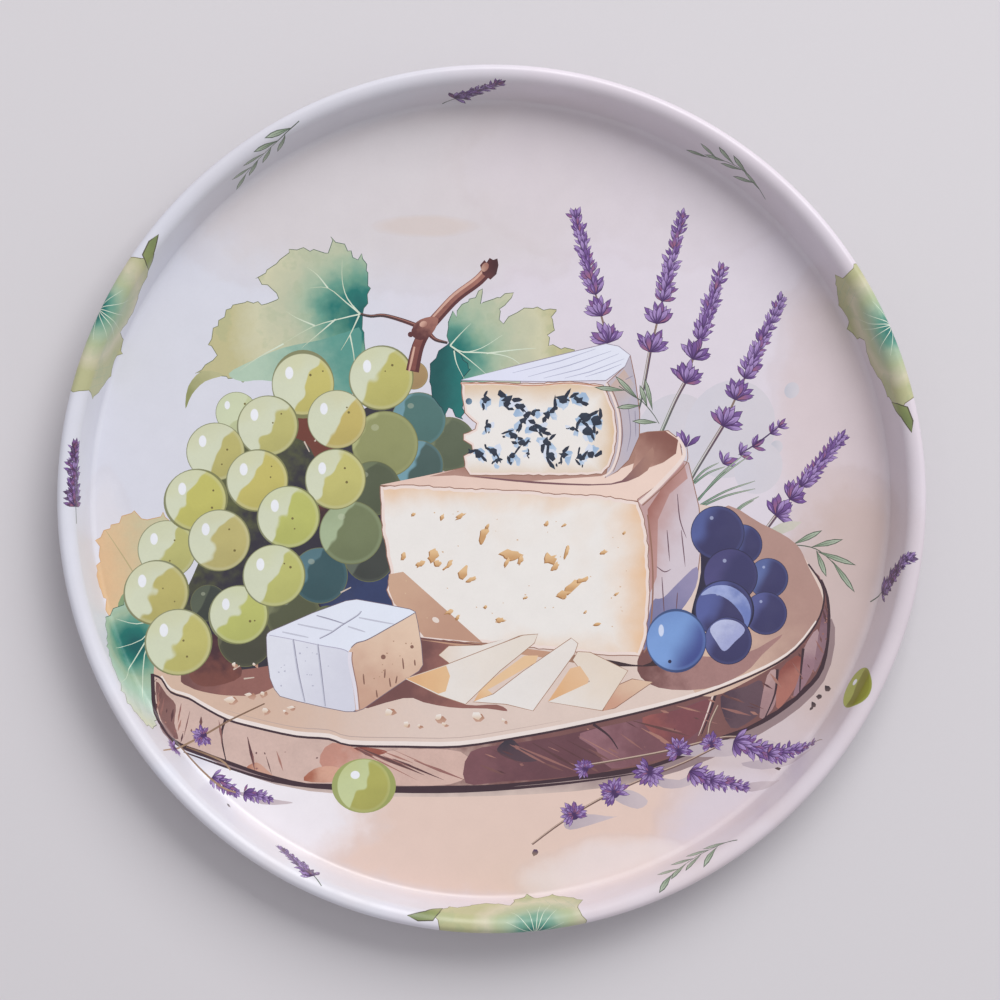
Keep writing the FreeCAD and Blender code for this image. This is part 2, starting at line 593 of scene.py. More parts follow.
def floret(brush, base, heading, length, chance):
    """One lavender floret: a dark edge, a body that pales towards its tip, and a light streak."""
    width = length * chance.uniform(*FLORET_WIDTH)
    tip = ahead_of(base, heading, length)
    draw(brush, petal(base, heading, length, width), LAVENDER_DARK)
    shade = chance.random()
    near = CALYX_PINK if shade < PINK_ONES else LAVENDER_DEEP
    far = LAVENDER_MID if shade < DULL_ONES else LAVENDER_PALE
    inner = ahead_of(base, heading, length * 0.12)
    draw(brush, petal(inner, heading, length * 0.84, width * 0.76), near, far, inner, tip)
    if shade > PLAIN_ONES:
        streak = ahead_of(base, heading + 7, length * 0.3)
        draw(brush, petal(streak, heading, length * 0.45, width * 0.16, 3), LAVENDER_PALE)


def whorl(brush, base, heading, length, spread, count, chance):
    """A ring of florets seen from its side: the outer ones first, the middle ones over them."""
    turns = [spread * (2 * index / (count - 1) - 1) for index in range(count)]
    for turn in sorted(turns, key=abs, reverse=True):
        size = length * (1.0 - 0.12 * abs(turn) / spread) * chance.uniform(0.78, 1.16)
        floret(brush, base, heading + turn + chance.uniform(-11, 11), size, chance)


LOOSE_WHORLS = (0.0, 0.025, 0.2, 0.225)      # the lowest rings of florets stand apart on the stem, in pairs
DENSE_FROM, DENSE_STEP, DENSE_TO = 0.36, 0.052, 0.95
LOOSE_FLORET, DENSE_FLORET, TAPER = 8.0, 7.2, 2.6


def lavender(brush, base, tip, seed, size=1.0):
    """A lavender spike from its lowest ring of florets to its tip."""
    chance = random.Random(seed)
    span, heading = reach_of(base, tip)
    stroke(brush, [base, tip], 0.9 * size, STEM_BROWN, (1.0, 0.4), LAVENDER_DARK)
    shares = list(LOOSE_WHORLS)
    while DENSE_FROM + DENSE_STEP * (len(shares) - len(LOOSE_WHORLS)) < DENSE_TO:
        shares.append(DENSE_FROM + DENSE_STEP * (len(shares) - len(LOOSE_WHORLS)))
    for share in reversed(shares):
        at = ahead_of(base, heading, span * share)
        full, count = (LOOSE_FLORET, 8) if share < DENSE_FROM else (DENSE_FLORET, 6)
        whorl(brush, at, heading, size * (full - TAPER * share), 64 - 24 * share, count, chance)


BLADE_WIDTH, BLADE_INSIDE, SAGE_STEM_WIDTH = 2.3, 1.6, 0.45


def sage(brush, stem, blades, size=1.0):
    """A sage sprig: a thin dark stem, and narrow leaves from a point on it to their tips."""
    stroke(brush, curve(stem), SAGE_STEM_WIDTH * size, SAGE_DARK, (0.8, 0.6))
    for base, tip in blades:
        length, heading = reach_of(base, tip)
        draw(brush, petal(base, heading, length, BLADE_WIDTH * size), SAGE_DARK)
        inner = ahead_of(base, heading, length * 0.05)
        draw(brush, petal(inner, heading, length * 0.88, BLADE_INSIDE * size), SAGE_GREEN, SAGE_PALE, base,
             tip)
        stroke(brush, [inner, ahead_of(base, heading, length * 0.75)], 0.25 * size, SAGE_DARK, (1.0, 0.3))


def on_rim(bearing, way):
    """A point of the blank, from its bearing round from +X in degrees and its way out from the middle."""
    return (way * math.cos(math.radians(bearing)), way * math.sin(math.radians(bearing)))


def lying(brush, base, tip, size, step, seed):
    """A short lavender head: rings of florets close together, narrowing to the tip."""
    chance = random.Random(seed)
    span, heading = reach_of(base, tip)
    rings = int(span / step)
    for index in range(rings, -1, -1):
        at = ahead_of(base, heading, span * index / rings)
        whorl(brush, at, heading, size * (1.0 - 0.3 * index / rings), 68 - 20 * index / rings, 7, chance)


rim_brush = Brush("print_rim_sprigs", brushed("rim_sprig_ink", mottle=0.2, grain=1.5))
dark_rim_brush = Brush("print_rim_sprigs", brushed("dark_sprig_ink", mottle=0.2, grain=1.5, blots=0.75))
RIM_LAVENDER = [((-13.6, 156), (-8.4, 172)), ((-115.4, 171), (-120.6, 162)), ((181.3, 170.5), (173.6, 172)),
                ((95.4, 157), (89.6, 168.5))]
for number, (base, tip) in enumerate(RIM_LAVENDER):
    stem_start = on_rim(base[0] - (tip[0] - base[0]) * 0.3, base[1] - (tip[1] - base[1]) * 0.3)
    stem_end = on_rim(tip[0] + (tip[0] - base[0]) * 0.15, tip[1] + (tip[1] - base[1]) * 0.15)
    stroke(rim_brush, [stem_start, on_rim(*tip), stem_end], 0.7, SAGE_DARK, (0.6, 0.3), LAVENDER_DEEP)
    lying(dark_rim_brush, on_rim(*base), on_rim(*tip), 6.6, 2.3, 30 + number)


def rim_sage(start, end, bow, count):
    """A sage sprig along the rim, from start to end, each a bearing and a way, bowed in its middle."""
    def at(share):
        bearing = start[0] + (end[0] - start[0]) * share
        return on_rim(bearing, start[1] + (end[1] - start[1]) * share + bow * math.sin(math.pi * share))
    stem = [at(step / 4) for step in range(5)]
    _, heading = reach_of(stem[0], stem[-1])
    blades = []
    for index in range(count):
        share = 0.12 + 0.8 * index / (count - 1)
        base, side = at(share), 1 if index % 2 else -1
        blades.append((base, ahead_of(base, heading + side * (36 - 10 * share), 12.5 - 3.0 * share)))
    sage(rim_brush, stem, blades, 1.1)


rim_sage((-54.5, 172.5), (-65.4, 172), -6.0, 8)
rim_sage((117.3, 174), (128, 160), 2.0, 8)
rim_sage((47.6, 161), (58.7, 157), 9.0, 8)


def toothed(points, tooth, seed, spacing=3.6):
    """The outline with small pointed teeth along its sides, as a vine leaf has."""
    chance = random.Random(seed)
    cut = []
    for start, end in sides(points):
        run = (end[0] - start[0], end[1] - start[1])
        length = math.hypot(*run)
        cut.append(start)
        for step in range(1, 2 * int(length / spacing)):
            share = (step - chance.uniform(0.0, 0.7)) / (2 * int(length / spacing))
            out = tooth * (chance.uniform(0.2, 1.5) if step % 2 else chance.uniform(-1.2, -0.1))
            cut.append((start[0] + run[0] * share - run[1] / length * out,
                        start[1] + run[1] * share + run[0] / length * out))
    return cut


def inset(outline, width):
    """The outline drawn in by that much."""
    side = 1 if area(outline) > 0 else -1
    drawn = []
    for before, at, after in zip(outline[-1:] + outline[:-1], outline, outline[1:] + outline[:1]):
        run = Vector((after[0] - before[0], after[1] - before[1]))
        if run.length > 0:
            run.normalize()
        drawn.append((at[0] - run.y * width * side, at[1] + run.x * width * side))
    return drawn


def outlined(brush, outline, line, width, near, far=None, start=(0.0, 0.0), end=(1.0, 0.0), tone=0.5):
    """A shape with a line that wide drawn inside its outline."""
    draw(brush, outline, line)
    draw(brush, inset(outline, width), near, far, start, end, tone)


# one scrap's outline, as bearings off its middle and ways out, from the lip to the floor and back
SCRAP = [(11.6, 184), (12, 177), (11.2, 171), (12.2, 165), (11, 160.5), (9.6, 157), (8.2, 153.5), (6, 155),
         (4.6, 152), (2.6, 154.5), (2, 160.5), (0.4, 158), (-1.4, 157.5), (-3.4, 160), (-5, 163),
         (-6.6, 163.5), (-8, 168), (-8.6, 173), (-7.6, 178), (-8.4, 184)]
# and its curled-up corner
CURL = [(-7.4, 166), (-8.8, 168), (-9.8, 171), (-12.2, 174.5), (-10.6, 176), (-8.6, 175), (-7.8, 171)]
scrap_brush = Brush("print_rim_sprigs", leafy("leaf_scrap_ink", OLIVE_EDGE))
for bearing, teal_at, seed in ((-89.5, 5.0, 3), (154.0, 0.5, 4), (21.0, 2.4, 5)):
    edge = toothed([on_rim(bearing + offset, way) for offset, way in SCRAP], 0.6, seed)
    draw(rim_brush, edge, mix(132, 132, 92), mix(112, 104, 74), on_rim(bearing + 8.5, 168),
         on_rim(bearing - 5.5, 168))
    heart = on_rim(bearing + teal_at, 180)
    draw(scrap_brush, inset(edge, 0.3), SAGE_GREEN, None, heart, on_rim(bearing + teal_at - 8, 170), 0.55)
    for offset, way in ((7, 170), (4, 163), (1.2, 166), (-2, 168), (-3, 174), (8, 176), (6, 164)):
        stroke(rim_brush, [heart, on_rim(bearing + teal_at - 1.6 + offset * 0.7, way)], 0.4, VEIN_PALE,
               (1.0, 0.2))
    for offset in (9.4, 8.2, 7.0):
        stroke(rim_brush, [on_rim(bearing + offset, 158), on_rim(bearing + offset + 1.4, 171)], 0.3,
               mix(150, 176, 150), (0.3, 0.3))
    curl = [on_rim(bearing + offset, way) for offset, way in CURL]
    outlined(rim_brush, curl, mix(86, 84, 62), 0.5, mix(146, 156, 98), mix(118, 132, 84), curl[0], curl[3])


# ---- The standing lavender -----------------------------------
# Six lavender spikes stand behind the cheeses on the right, with grass-like leaves and a sprig of
# sage at their feet, and a few pale drops of wash let fall between them.
lavender_ink = brushed("lavender_ink", mottle=0.14, grain=1.5)
drop_ink = brushed("drop_ink", bleed=0.5, mottle=0.05)
lavender_brush = Brush("print_lavender", lavender_ink)
drop_brush = Brush("print_lavender", drop_ink)
DROP_GREY = mix(196, 196, 206)
DROP_PALE = mix(212, 207, 214)
DROP_FAINT = mix(211, 208, 217)
SMALL_DROP = 3.0
DROPS = [((115.5, 42), 2.8), ((110, 20), 2.4), ((70, 24), 15), ((92, 27), 17), ((103, 12), 9)]
for number, (middle, size) in enumerate(DROPS):
    outline = shifted(ring(middle, size, 28, 1.15, 60), random.Random(number).uniform(-0.4, 0.4))
    draw(drop_brush, outline, DROP_GREY if size < SMALL_DROP else DROP_FAINT, DROP_PALE,
         (middle[0] - size, middle[1]), (middle[0] + size, middle[1]))

STEMS = [[(61, 57), (58, 41), (55, 30)], [(74.5, 45), (70.5, 37.5), (65, 25)],
         [(89, 28), (78, 10), (75, 4)], [(109.5, -6.5), (103.5, -14.5), (99, -20)]]
for stem in STEMS:
    stroke(lavender_brush, curve(stem), 1.5, STEM_BROWN, (1.0, 1.0), SAGE_GREEN)
    stroke(lavender_brush, curve(shifted(stem, 0.45)), 0.4, LAVENDER_DARK, (1.0, 0.6))
    stroke(lavender_brush, curve(shifted(stem, -0.35)), 0.4, DROP_PALE, (0.6, 0.6))
SPIKES = [((45, 60), (31.5, 111.5)), ((61, 56.5), (74, 111)), ((74.5, 44.5), (89.5, 90.5)),
          ((89, 28), (112.5, 79))]
for number, (base, tip) in enumerate(SPIKES):
    lavender(lavender_brush, base, tip, 10 + number)
lavender(lavender_brush, (109.5, -6.5), (136, 25), 21, 0.95)
chance = random.Random(5)
for at, length in (((89, 13.5), 6), ((95.5, 17), 6), ((100.5, 20), 5.5), ((107.5, 25), 4.8),
                   ((110.5, 27.5), 4.6)):
    whorl(lavender_brush, at, 42, length, 50, 5, chance)
stroke(lavender_brush, curve([(95, 17), (103, 22), (112, 29)]), 0.6, LAVENDER_DARK)
whorl(lavender_brush, (75, 20), 100, 7, 62, 5, chance)

GRASS = [((77.5, 6.5), (87.5, 14)), ((78, 6), (90, 12.5)), ((79.5, 0), (99, 16.5)),
         ((79.5, -0.5), (97, 17)), ((80, -2.5), (101.5, 7)), ((80.5, -3), (101.5, 4)),
         ((91, -7.5), (103, 1)), ((92, -8), (101, -0.5))]
for base, tip in GRASS:
    middle = ((base[0] + tip[0]) / 2 - 0.6, (base[1] + tip[1]) / 2 + 0.8)
    stroke(lavender_brush, curve([base, middle, tip]), 1.1, SAGE_DARK, (0.7, 0.2))
    stroke(lavender_brush, curve([base, middle, tip]), 0.6, mix(120, 152, 132), (0.7, 0.2), SAGE_PALE)
draw(lavender_brush, petal((103.5, -14), 18, 17, 4.2), mix(190, 192, 176), mix(206, 200, 188), (103.5, -14),
     (120, -9))
SAGE_STEM = [(98, -25), (104, -22), (113.5, -18), (123, -18.5), (129, -22), (135, -28.5)]
SAGE_LEAVES = [((107, -20), (115.5, -16.5)), ((116, -17.5), (127.5, -12)), ((123, -18.5), (135.5, -15.5)),
               ((125, -20), (140.5, -25.5)), ((117, -18), (121.5, -27)), ((125, -19.5), (129, -30)),
               ((131, -23.5), (140, -36)), ((114, -18.5), (113.5, -23))]
sage(lavender_brush, SAGE_STEM, SAGE_LEAVES)


# ---- The vine leaves -----------------------------------------
# Three broad vine leaves frame the grapes: one above them, one low on the left whose lobe runs on
# up the wall, and one behind the cheeses. Pale veins run out from where the stalk joins each.
leaf_brush = Brush("print_leaves", leafy("vine_leaf_ink", WARM_EDGE))
cool_leaf_brush = Brush("print_leaves", leafy("cool_leaf_ink", COOL_EDGE))
vein_brush = Brush("print_leaves", brushed("leaf_vein_ink", mottle=0.12))
LEAF_EDGE = 0.28             # how wide the thin line round a leaf is, in mm


def vine_leaf(brush, outline, heart, reach, tone, seed, tooth=0.7):
    """A leaf with a thin olive edge and teeth. The stalk joins at its heart, and it is palest at reach."""
    edge = toothed(outline, tooth, seed)
    draw(vein_brush, edge, LEAF_LINE, mix(60, 96, 84), reach, heart)
    draw(brush, inset(edge, LEAF_EDGE), LEAF_LINE, None, heart, reach, tone)


HIGH_LEAF = [(-49.5, 71), (-46.5, 81), (-47.5, 87), (-50, 94.5), (-51.5, 92), (-54, 95.5), (-62, 101),
             (-63, 94.5), (-68.5, 96), (-78, 96), (-81.5, 92), (-86.5, 88), (-91, 84.5), (-84, 80),
             (-82, 77), (-86.5, 75), (-94, 76), (-99.5, 74.5), (-105, 68.5), (-109, 59), (-105.5, 55),
             (-110, 51.5), (-114, 48), (-104, 47), (-95.5, 44.5), (-90, 46), (-82, 47.5), (-70, 40),
             (-54, 38), (-52, 50), (-48.5, 57), (-49, 64)]
vine_leaf(leaf_brush, HIGH_LEAF, (-50.5, 71), (-100, 78), 0.5, 4)
tail = loop([(-103, 47.5), (-110, 45), (-115, 40), (-117.5, 34.5), (-116.5, 43), (-111, 49)])
draw(vein_brush, toothed(tail, 0.3, 8), mix(142, 146, 92), mix(186, 184, 140), (-117, 36), (-104, 48))
shade = loop([(-54, 39), (-72, 43), (-88, 45.5), (-96, 45), (-101, 48), (-92, 53), (-80, 58), (-66, 61),
              (-56, 64), (-50, 64)])
draw(vein_brush, shade, mix(84, 150, 138), mix(178, 202, 180), (-52, 58), (-92, 46))

VEINS = [[(-50.5, 71), (-56, 75.5), (-63, 81), (-70, 81)], [(-50.5, 71), (-57, 69.5), (-69, 66), (-81, 59)],
         [(-50.5, 71), (-55.5, 77), (-57.5, 84), (-57.5, 92)], [(-51, 70.5), (-54.5, 63), (-58, 57)],
         [(-60, 69), (-67, 63), (-73, 58)], [(-68, 66.5), (-75, 69.5), (-79, 72)],
         [(-54.5, 63), (-53, 55), (-52.5, 46)], [(-63, 81), (-67, 86), (-71, 89)],
         [(-80, 59.5), (-90, 54), (-97, 49)]]
for vein in VEINS:
    stroke(vein_brush, curve(vein, 3), 0.62, VEIN_PALE, (1.0, 0.15), mix(198, 208, 180))

LOW_WARM = [(-132, -8), (-137, -4.5), (-146, -10), (-152, -16), (-150.5, -22), (-152.5, -30), (-149, -38),
            (-146.5, -48), (-138, -50), (-126, -44), (-122, -30), (-120, -14), (-126, -5)]
LOW_COOL = [(-126, -30), (-136, -37), (-145, -42), (-150, -46), (-153.5, -56), (-155, -64), (-152, -74),
            (-149.5, -84), (-142, -90), (-135, -92), (-130, -88), (-127.5, -80), (-125, -60), (-120, -44),
            (-121, -34)]
outlined(vein_brush, toothed(LOW_WARM, 0.9, 12), mix(206, 160, 112), 0.3, mix(222, 186, 144),
         mix(202, 196, 160), (-152, -30), (-122, -26))
draw(vein_brush, loop([(-141, -48), (-143, -40), (-138, -33), (-131, -29), (-124, -34), (-126, -44)]),
     mix(132, 158, 118), mix(160, 176, 140), (-140, -44), (-126, -32))
stroke(vein_brush, curve([(-148, -12), (-140, -24), (-134, -34), (-130, -42)]), 0.5, mix(186, 170, 128))
vine_leaf(cool_leaf_brush, LOW_COOL, (-135, -56), (-158, -76), 0.34, 14, 1.1)
for vein in ([(-128, -46), (-134, -54), (-146, -58)], [(-128, -46), (-133, -60), (-134, -78), (-137, -90)],
             [(-128, -46), (-136, -48), (-144, -46)], [(-131, -52), (-141, -68), (-149, -74)],
             [(-122, -48), (-126, -50), (-131, -48)]):
    stroke(vein_brush, curve(vein, 3), 0.55, VEIN_PALE, (1.0, 0.2))


# ---- The board -----------------------------------------------
# A thick slice of a trunk lies under everything: a peach-pink top, a pale worn edge, and dark bark
# with warm patches and cracks round its side. Brown shadows lie on it under the food.
BOARD_TOP = mix(224, 204, 193)
BOARD_WARM = mix(214, 184, 164)
BOARD_SHADE = mix(178, 142, 132)
BARK_PALE = mix(210, 182, 171)
BARK_DARK = mix(122, 82, 80)
BARK_LINE = mix(62, 40, 50)
SHADOW_BROWN = mix(116, 76, 74)
board_brush = Brush("print_board", brushed("board_ink", bleed=0.5, mottle=0.1, grain=9.0))
bark_brush = Brush("print_board", brushed("bark_ink", bleed=1.1, mottle=0.22, grain=5.0))

BOARD_FRONT = [(-129.5, -67.5), (-126.5, -69), (-123, -74), (-116, -76.5), (-111, -79.5), (-101.5, -84.5),
               (-91, -87.5), (-75, -91), (-62.5, -92), (-54.5, -94.5), (-34, -95), (-12.5, -95),
               (10.5, -91.5), (27, -88.5), (48, -84), (68.5, -79), (85, -74), (105.5, -65.5), (117, -58),
               (125, -48), (128, -39.5), (127, -32.5), (122, -25)]
BARK_FOOT = [(-130, -67), (-129, -82), (-124, -91), (-116.5, -96), (-101.5, -101), (-83, -107),
             (-62, -110.5), (-12.5, -111), (10.5, -109.5), (31, -107.5), (51.5, -105), (68.5, -100.5),
             (98.5, -88.5), (110.5, -82), (120.5, -74), (127.5, -65), (130, -49.5), (129.5, -38),
             (127, -31)]
front_line = curve(BOARD_FRONT, 3)
foot_line = curve(BARK_FOOT, 3)
under = [(-128, -88), (-110, -99), (-70, -112), (0, -114), (60, -108), (104, -90), (128, -70), (131, -46)]
draw(board_brush, loop(under + [(112, -60), (0, -80), (-100, -76)], 4), mix(150, 128, 130),
     mix(214, 194, 184), (0, -104), (0, -116))
draw(bark_brush, front_line + foot_line[::-1], BARK_LINE)
inner_front = shifted(front_line, 0, -0.5)
inner_foot = [(east * 0.994, north + 1.0 + 0.4 * math.sin(east)) for east, north in foot_line]
draw(bark_brush, inner_front + inner_foot[::-1], BARK_PALE, BARK_DARK, (-60, -98), (20, -100))


def centre(points):
    """The middle of the points."""
    return tuple(sum(point[axis] for point in points) / len(points) for axis in (0, 1))


# each patch of bark: its outline and its two colours
BARK_PATCHES = [([(-128.5, -70), (-124.5, -75), (-121, -79), (-121.5, -86), (-120, -92), (-124, -90),
                  (-127.5, -82)], BARK_DARK, mix(134, 96, 92)),
                ([(-61, -93.5), (-46, -97), (-30, -96), (-12, -97), (-8, -104), (-16, -109.5),
                  (-40, -109.5), (-58, -107), (-66, -101)], mix(196, 142, 126), mix(212, 180, 168)),
                ([(-53, -95.5), (-46, -98.5), (-40, -97), (-46, -95.5)], mix(120, 62, 54),
                 mix(150, 84, 70)),
                ([(-94, -103), (-90, -101), (-86, -104), (-84, -106.5), (-92, -105)], mix(176, 112, 88),
                 mix(206, 160, 140)),
                ([(-72, -108), (-68, -103.5), (-61, -102.5), (-55, -105), (-60, -108.5)], mix(168, 98, 74),
                 mix(212, 164, 142)),
                ([(-8, -97), (8, -94), (26, -91), (44, -88), (40, -98), (46, -104), (26, -107), (4, -108.5),
                  (-10, -109)], mix(122, 80, 86), mix(104, 66, 74)),
                ([(34, -90), (60, -84), (74, -80), (84, -77), (80, -88), (76, -97), (60, -101),
                  (46, -103.5), (40, -96)], mix(146, 104, 112), mix(120, 78, 86)),
                ([(58, -84), (72, -81), (84, -77), (84, -84), (76, -92), (68, -94), (62, -90)],
                 mix(152, 88, 84), mix(124, 72, 78)),
                ([(7, -92), (12, -96), (18, -100), (12, -101), (5, -99), (2, -96)], mix(58, 50, 62),
                 mix(84, 62, 72)),
                ([(88, -76), (98, -72), (104, -70), (104, -80), (100, -85), (92, -88)], mix(76, 56, 70),
                 mix(98, 74, 84)),
                ([(106, -68), (110, -66), (110, -74), (108, -81), (103, -84)], mix(184, 152, 150),
                 mix(164, 130, 132)),
                ([(111, -66), (119, -60), (118, -70), (113, -78), (109.5, -80)], mix(140, 78, 70),
                 mix(170, 110, 98)),
                ([(120, -58), (125.5, -50), (126, -60), (121, -71), (116, -76), (119, -66)],
                 mix(176, 146, 150), mix(150, 116, 126)),
                ([(127, -46), (129, -42), (129, -54), (127, -62), (124, -66)], mix(116, 84, 98),
                 mix(142, 110, 120))]
for outline, near, far in BARK_PATCHES:
    draw(bark_brush, loop(outline), near, far, outline[0], centre(outline))
for crack in ([(-102, -84.5), (-103.5, -91), (-101.5, -101.5)], [(86.5, -74), (84, -82), (80.5, -91)],
              [(110, -65.5), (109, -75), (104.5, -85.5)], [(120, -57.5), (119, -67), (118.5, -76)],
              [(39, -86.5), (45, -91), (48.5, -96)]):
    stroke(bark_brush, curve(crack), 1.1, BARK_LINE, (1.0, 0.3))
stroke(bark_brush, curve([(85.5, -74), (83, -82), (79.5, -91)]), 0.8, mix(228, 208, 200), (0.9, 0.2))

BARK_STREAKS = 130
BARK_BROWNS = [BARK_DARK, mix(150, 104, 98), mix(168, 120, 108), mix(100, 66, 66), mix(92, 58, 62)]
chance = random.Random(23)
for _ in range(BARK_STREAKS):
    share = chance.uniform(0.03, 0.93)
    top_at = front_line[int(share * (len(front_line) - 1))]
    foot_at = foot_line[int(share * (len(foot_line) - 1))]
    high, low = sorted((chance.uniform(0.05, 0.95), chance.uniform(0.05, 0.95)))
    streak = [(top_at[0] + (foot_at[0] - top_at[0]) * part, top_at[1] + (foot_at[1] - top_at[1]) * part)
              for part in (high, (high + low) / 2, low)]
    streak = [(streak[0][0] * 0.25 + east * 0.75, north) for east, north in streak]
    bark = chance.choice(BARK_BROWNS)
    stroke(bark_brush, streak, chance.uniform(0.3, 1.3), bark, (0.2, 0.1))

TOP_BACK = [(118, -18), (105, -10), (80, -2), (0, 0), (-90, -20), (-122, -44), (-129, -60)]
draw(board_brush, front_line + curve(TOP_BACK, 3), BOARD_TOP, BOARD_WARM, (-20, -92), (-90, -70))
draw(board_brush,
     loop([(84, -76), (105, -66.5), (118, -57.5), (126, -46), (127.5, -38), (122, -26), (117, -17),
           (104, -9.5), (88, -4), (86, -40), (76, -68)], 4), BOARD_SHADE, BOARD_WARM, (124, -42), (84, -70))
stroke(board_brush, curve(shifted(BOARD_FRONT[1:20], 0, 1.1), 3), 1.9, mix(238, 226, 220), (0.4, 0.3))
stroke(board_brush, curve(shifted(BOARD_FRONT[5:14], 0, 3.4), 3), 0.35, mix(190, 168, 160), (0.3, 0.2))
stroke(bark_brush, front_line, 0.75, BARK_LINE, (0.9, 0.9))
stroke(bark_brush, foot_line, 1.5, BARK_LINE, (0.8, 0.5))
stroke(bark_brush,
       curve([(-118, -97), (-84, -108), (-50, -111.5), (-10, -112), (30, -109), (62, -104.5)], 4), 1.6,
       BARK_LINE, (0.3, 0.1))

SHADOWS = [[(-119, -67), (-116, -72), (-108, -74.5), (-98, -75.5), (-87, -74), (-70, -62), (-84, -48),
            (-110, -44)],
           [(-28, -62), (-26, -52), (0, -54), (10, -58), (-4, -62), (-14, -68), (-18, -76), (-34, -76.5),
            (-50, -80)],
           [(60, -56), (76, -60), (96, -60), (112, -52), (104, -60), (97, -67), (82, -73), (64, -72.5),
            (56, -66)],
           [(-33, -69), (-18, -74), (-10, -79), (2, -79), (6, -81.5), (-2, -80.5), (-16, -80),
            (-30, -76.5)]]
for number, outline in enumerate(SHADOWS):
    pale = mix(166, 126, 122) if number == 2 else mix(146, 98, 90)
    draw(bark_brush, loop(outline), SHADOW_BROWN, pale, outline[0], centre(outline))


# ---- The green grapes ----------------------------------------
# A heap of pale green grapes on the left, each with a cool light side, a warm yellow shade, a
# bright window of light and a thin olive line round it. Dark ones and deep gaps lie behind them.
GRAPE_LIGHT = mix(212, 217, 190)
GRAPE_LINE = mix(112, 114, 74)
GRAPE_WINDOW = mix(240, 242, 250)
GAP_DARK = mix(48, 44, 56)
gap_ink = brushed("grape_gap_ink", bleed=1.2, mottle=0.2)
gap_brush = Brush("print_grapes", gap_ink)


LIGHT_UP, LIGHT_WEST = 0.5, 0.86     # where the picture's light comes from
SKIN_LINE = (0.955, 0.99)            # the line round a fruit, as shares of its radius


def fruit(name, line_colour, light_edge, window_place, window_size, window_colour, window_share,
          ragged_edge=0.45, soft=0.05):
    """Ink of a round fruit: its near colour on the light side, its far colour on the other."""
    mixed = ink(name)
    across, up, tone = three(mixed, attribute(mixed, "place"))
    wobble = mixed.noise(9.0, detail=1.0) - 0.5
    out = (across * across + up * up) ** 0.5
    toward_light = up * LIGHT_UP - across * LIGHT_WEST + wobble * ragged_edge * 2.0 + (tone - 0.5) * 0.5
    side = toward_light.rise(light_edge - soft, light_edge + soft)
    deep = (up * -0.6 + across * 0.1 + 0.2 + wobble).rise(0.1, 0.8)
    far_colour = attribute(mixed, "far_pigment")
    shade = mixed.blend(deep, far_colour, mixed.scaled(far_colour, 0.88))
    near_colour = attribute(mixed, "pigment")
    glow = mixed.blend((up * 0.8 - across * 0.3 + wobble).rise(0.1, 0.9) * 0.22, near_colour, far_colour)
    colour = mixed.blend(side, shade, glow)
    edge_glow = out.rise(0.84, 0.93) * (1.0 - side)
    colour = mixed.blend(edge_glow * 0.22, colour, near_colour)
    window_across = ((across - window_place[0]) / window_size[0]) ** 2.0
    window_up = ((up - window_place[1]) / window_size[1]) ** 2.0
    window = window_across + window_up
    colour = mixed.blend(window.rise(1.2, 0.75) * window_share, colour, window_colour)
    colour = mixed.blend(out.rise(*SKIN_LINE) * 0.85, colour, line_colour)
    mixed.coat("Base Color", granulated(mixed, colour, 0.08))
    return mixed


green_grape_ink = fruit("green_grape_ink", GRAPE_LINE, light_edge=0.05, window_place=(-0.44, 0.36),
                        window_size=(0.13, 0.2), window_colour=GRAPE_WINDOW, window_share=0.9)
dark_grape_ink = fruit("dark_grape_ink", GRAPE_LINE, light_edge=0.42, window_place=(-0.3, 0.5),
                       window_size=(0.12, 0.1), window_colour=GRAPE_LIGHT, window_share=0.25)
grape_brush = Brush("print_grapes", green_grape_ink)
dark_grape_brush = Brush("print_grapes", dark_grape_ink)
FRUIT_POINTS = 40


def round_fruit(brush, middle, size, light, shade, tone, stretch=1.0, turn=0.0):
    """One fruit, that many millimetres from its middle to its skin."""
    draw(brush, ring(middle, size, FRUIT_POINTS, stretch, turn), light, shade, middle,
         (middle[0] + size, middle[1]), tone)


gap = loop([(-100, 26), (-72, 24), (-50, 34), (-36, 40), (-22, 24), (-20, 2), (-38, -2), (-38, -50),
            (-60, -54), (-76, -62), (-104, -66), (-116, -60), (-118, -40), (-113, -26), (-106, -8),
            (-104, 8)], 4)
draw(gap_brush, gap, mix(92, 96, 58), GAP_DARK, (-108, 10), (-78, -14))
draw(gap_brush, loop([(-62, -20), (-50, -18), (-38, -24), (-38, -46), (-56, -48), (-66, -40)], 4),
     mix(48, 60, 100), mix(34, 40, 66), (-50, -38), (-64, -20))
draw(gap_brush,
     loop([(-88, 26), (-72, 22), (-66, 8), (-70, -4), (-62, -14), (-56, -8), (-64, 4), (-60, 20),
           (-72, 32)], 4), mix(112, 60, 48), mix(60, 40, 44), (-74, 12), (-64, -10))
draw(gap_brush, loop([(-108, -52), (-100, -58), (-96, -68), (-110, -72), (-116, -66)], 4), mix(70, 42, 50),
     mix(120, 72, 64), (-104, -54), (-104, -70))
TEAL, TEAL_DEEP = mix(116, 158, 170), mix(78, 116, 112)
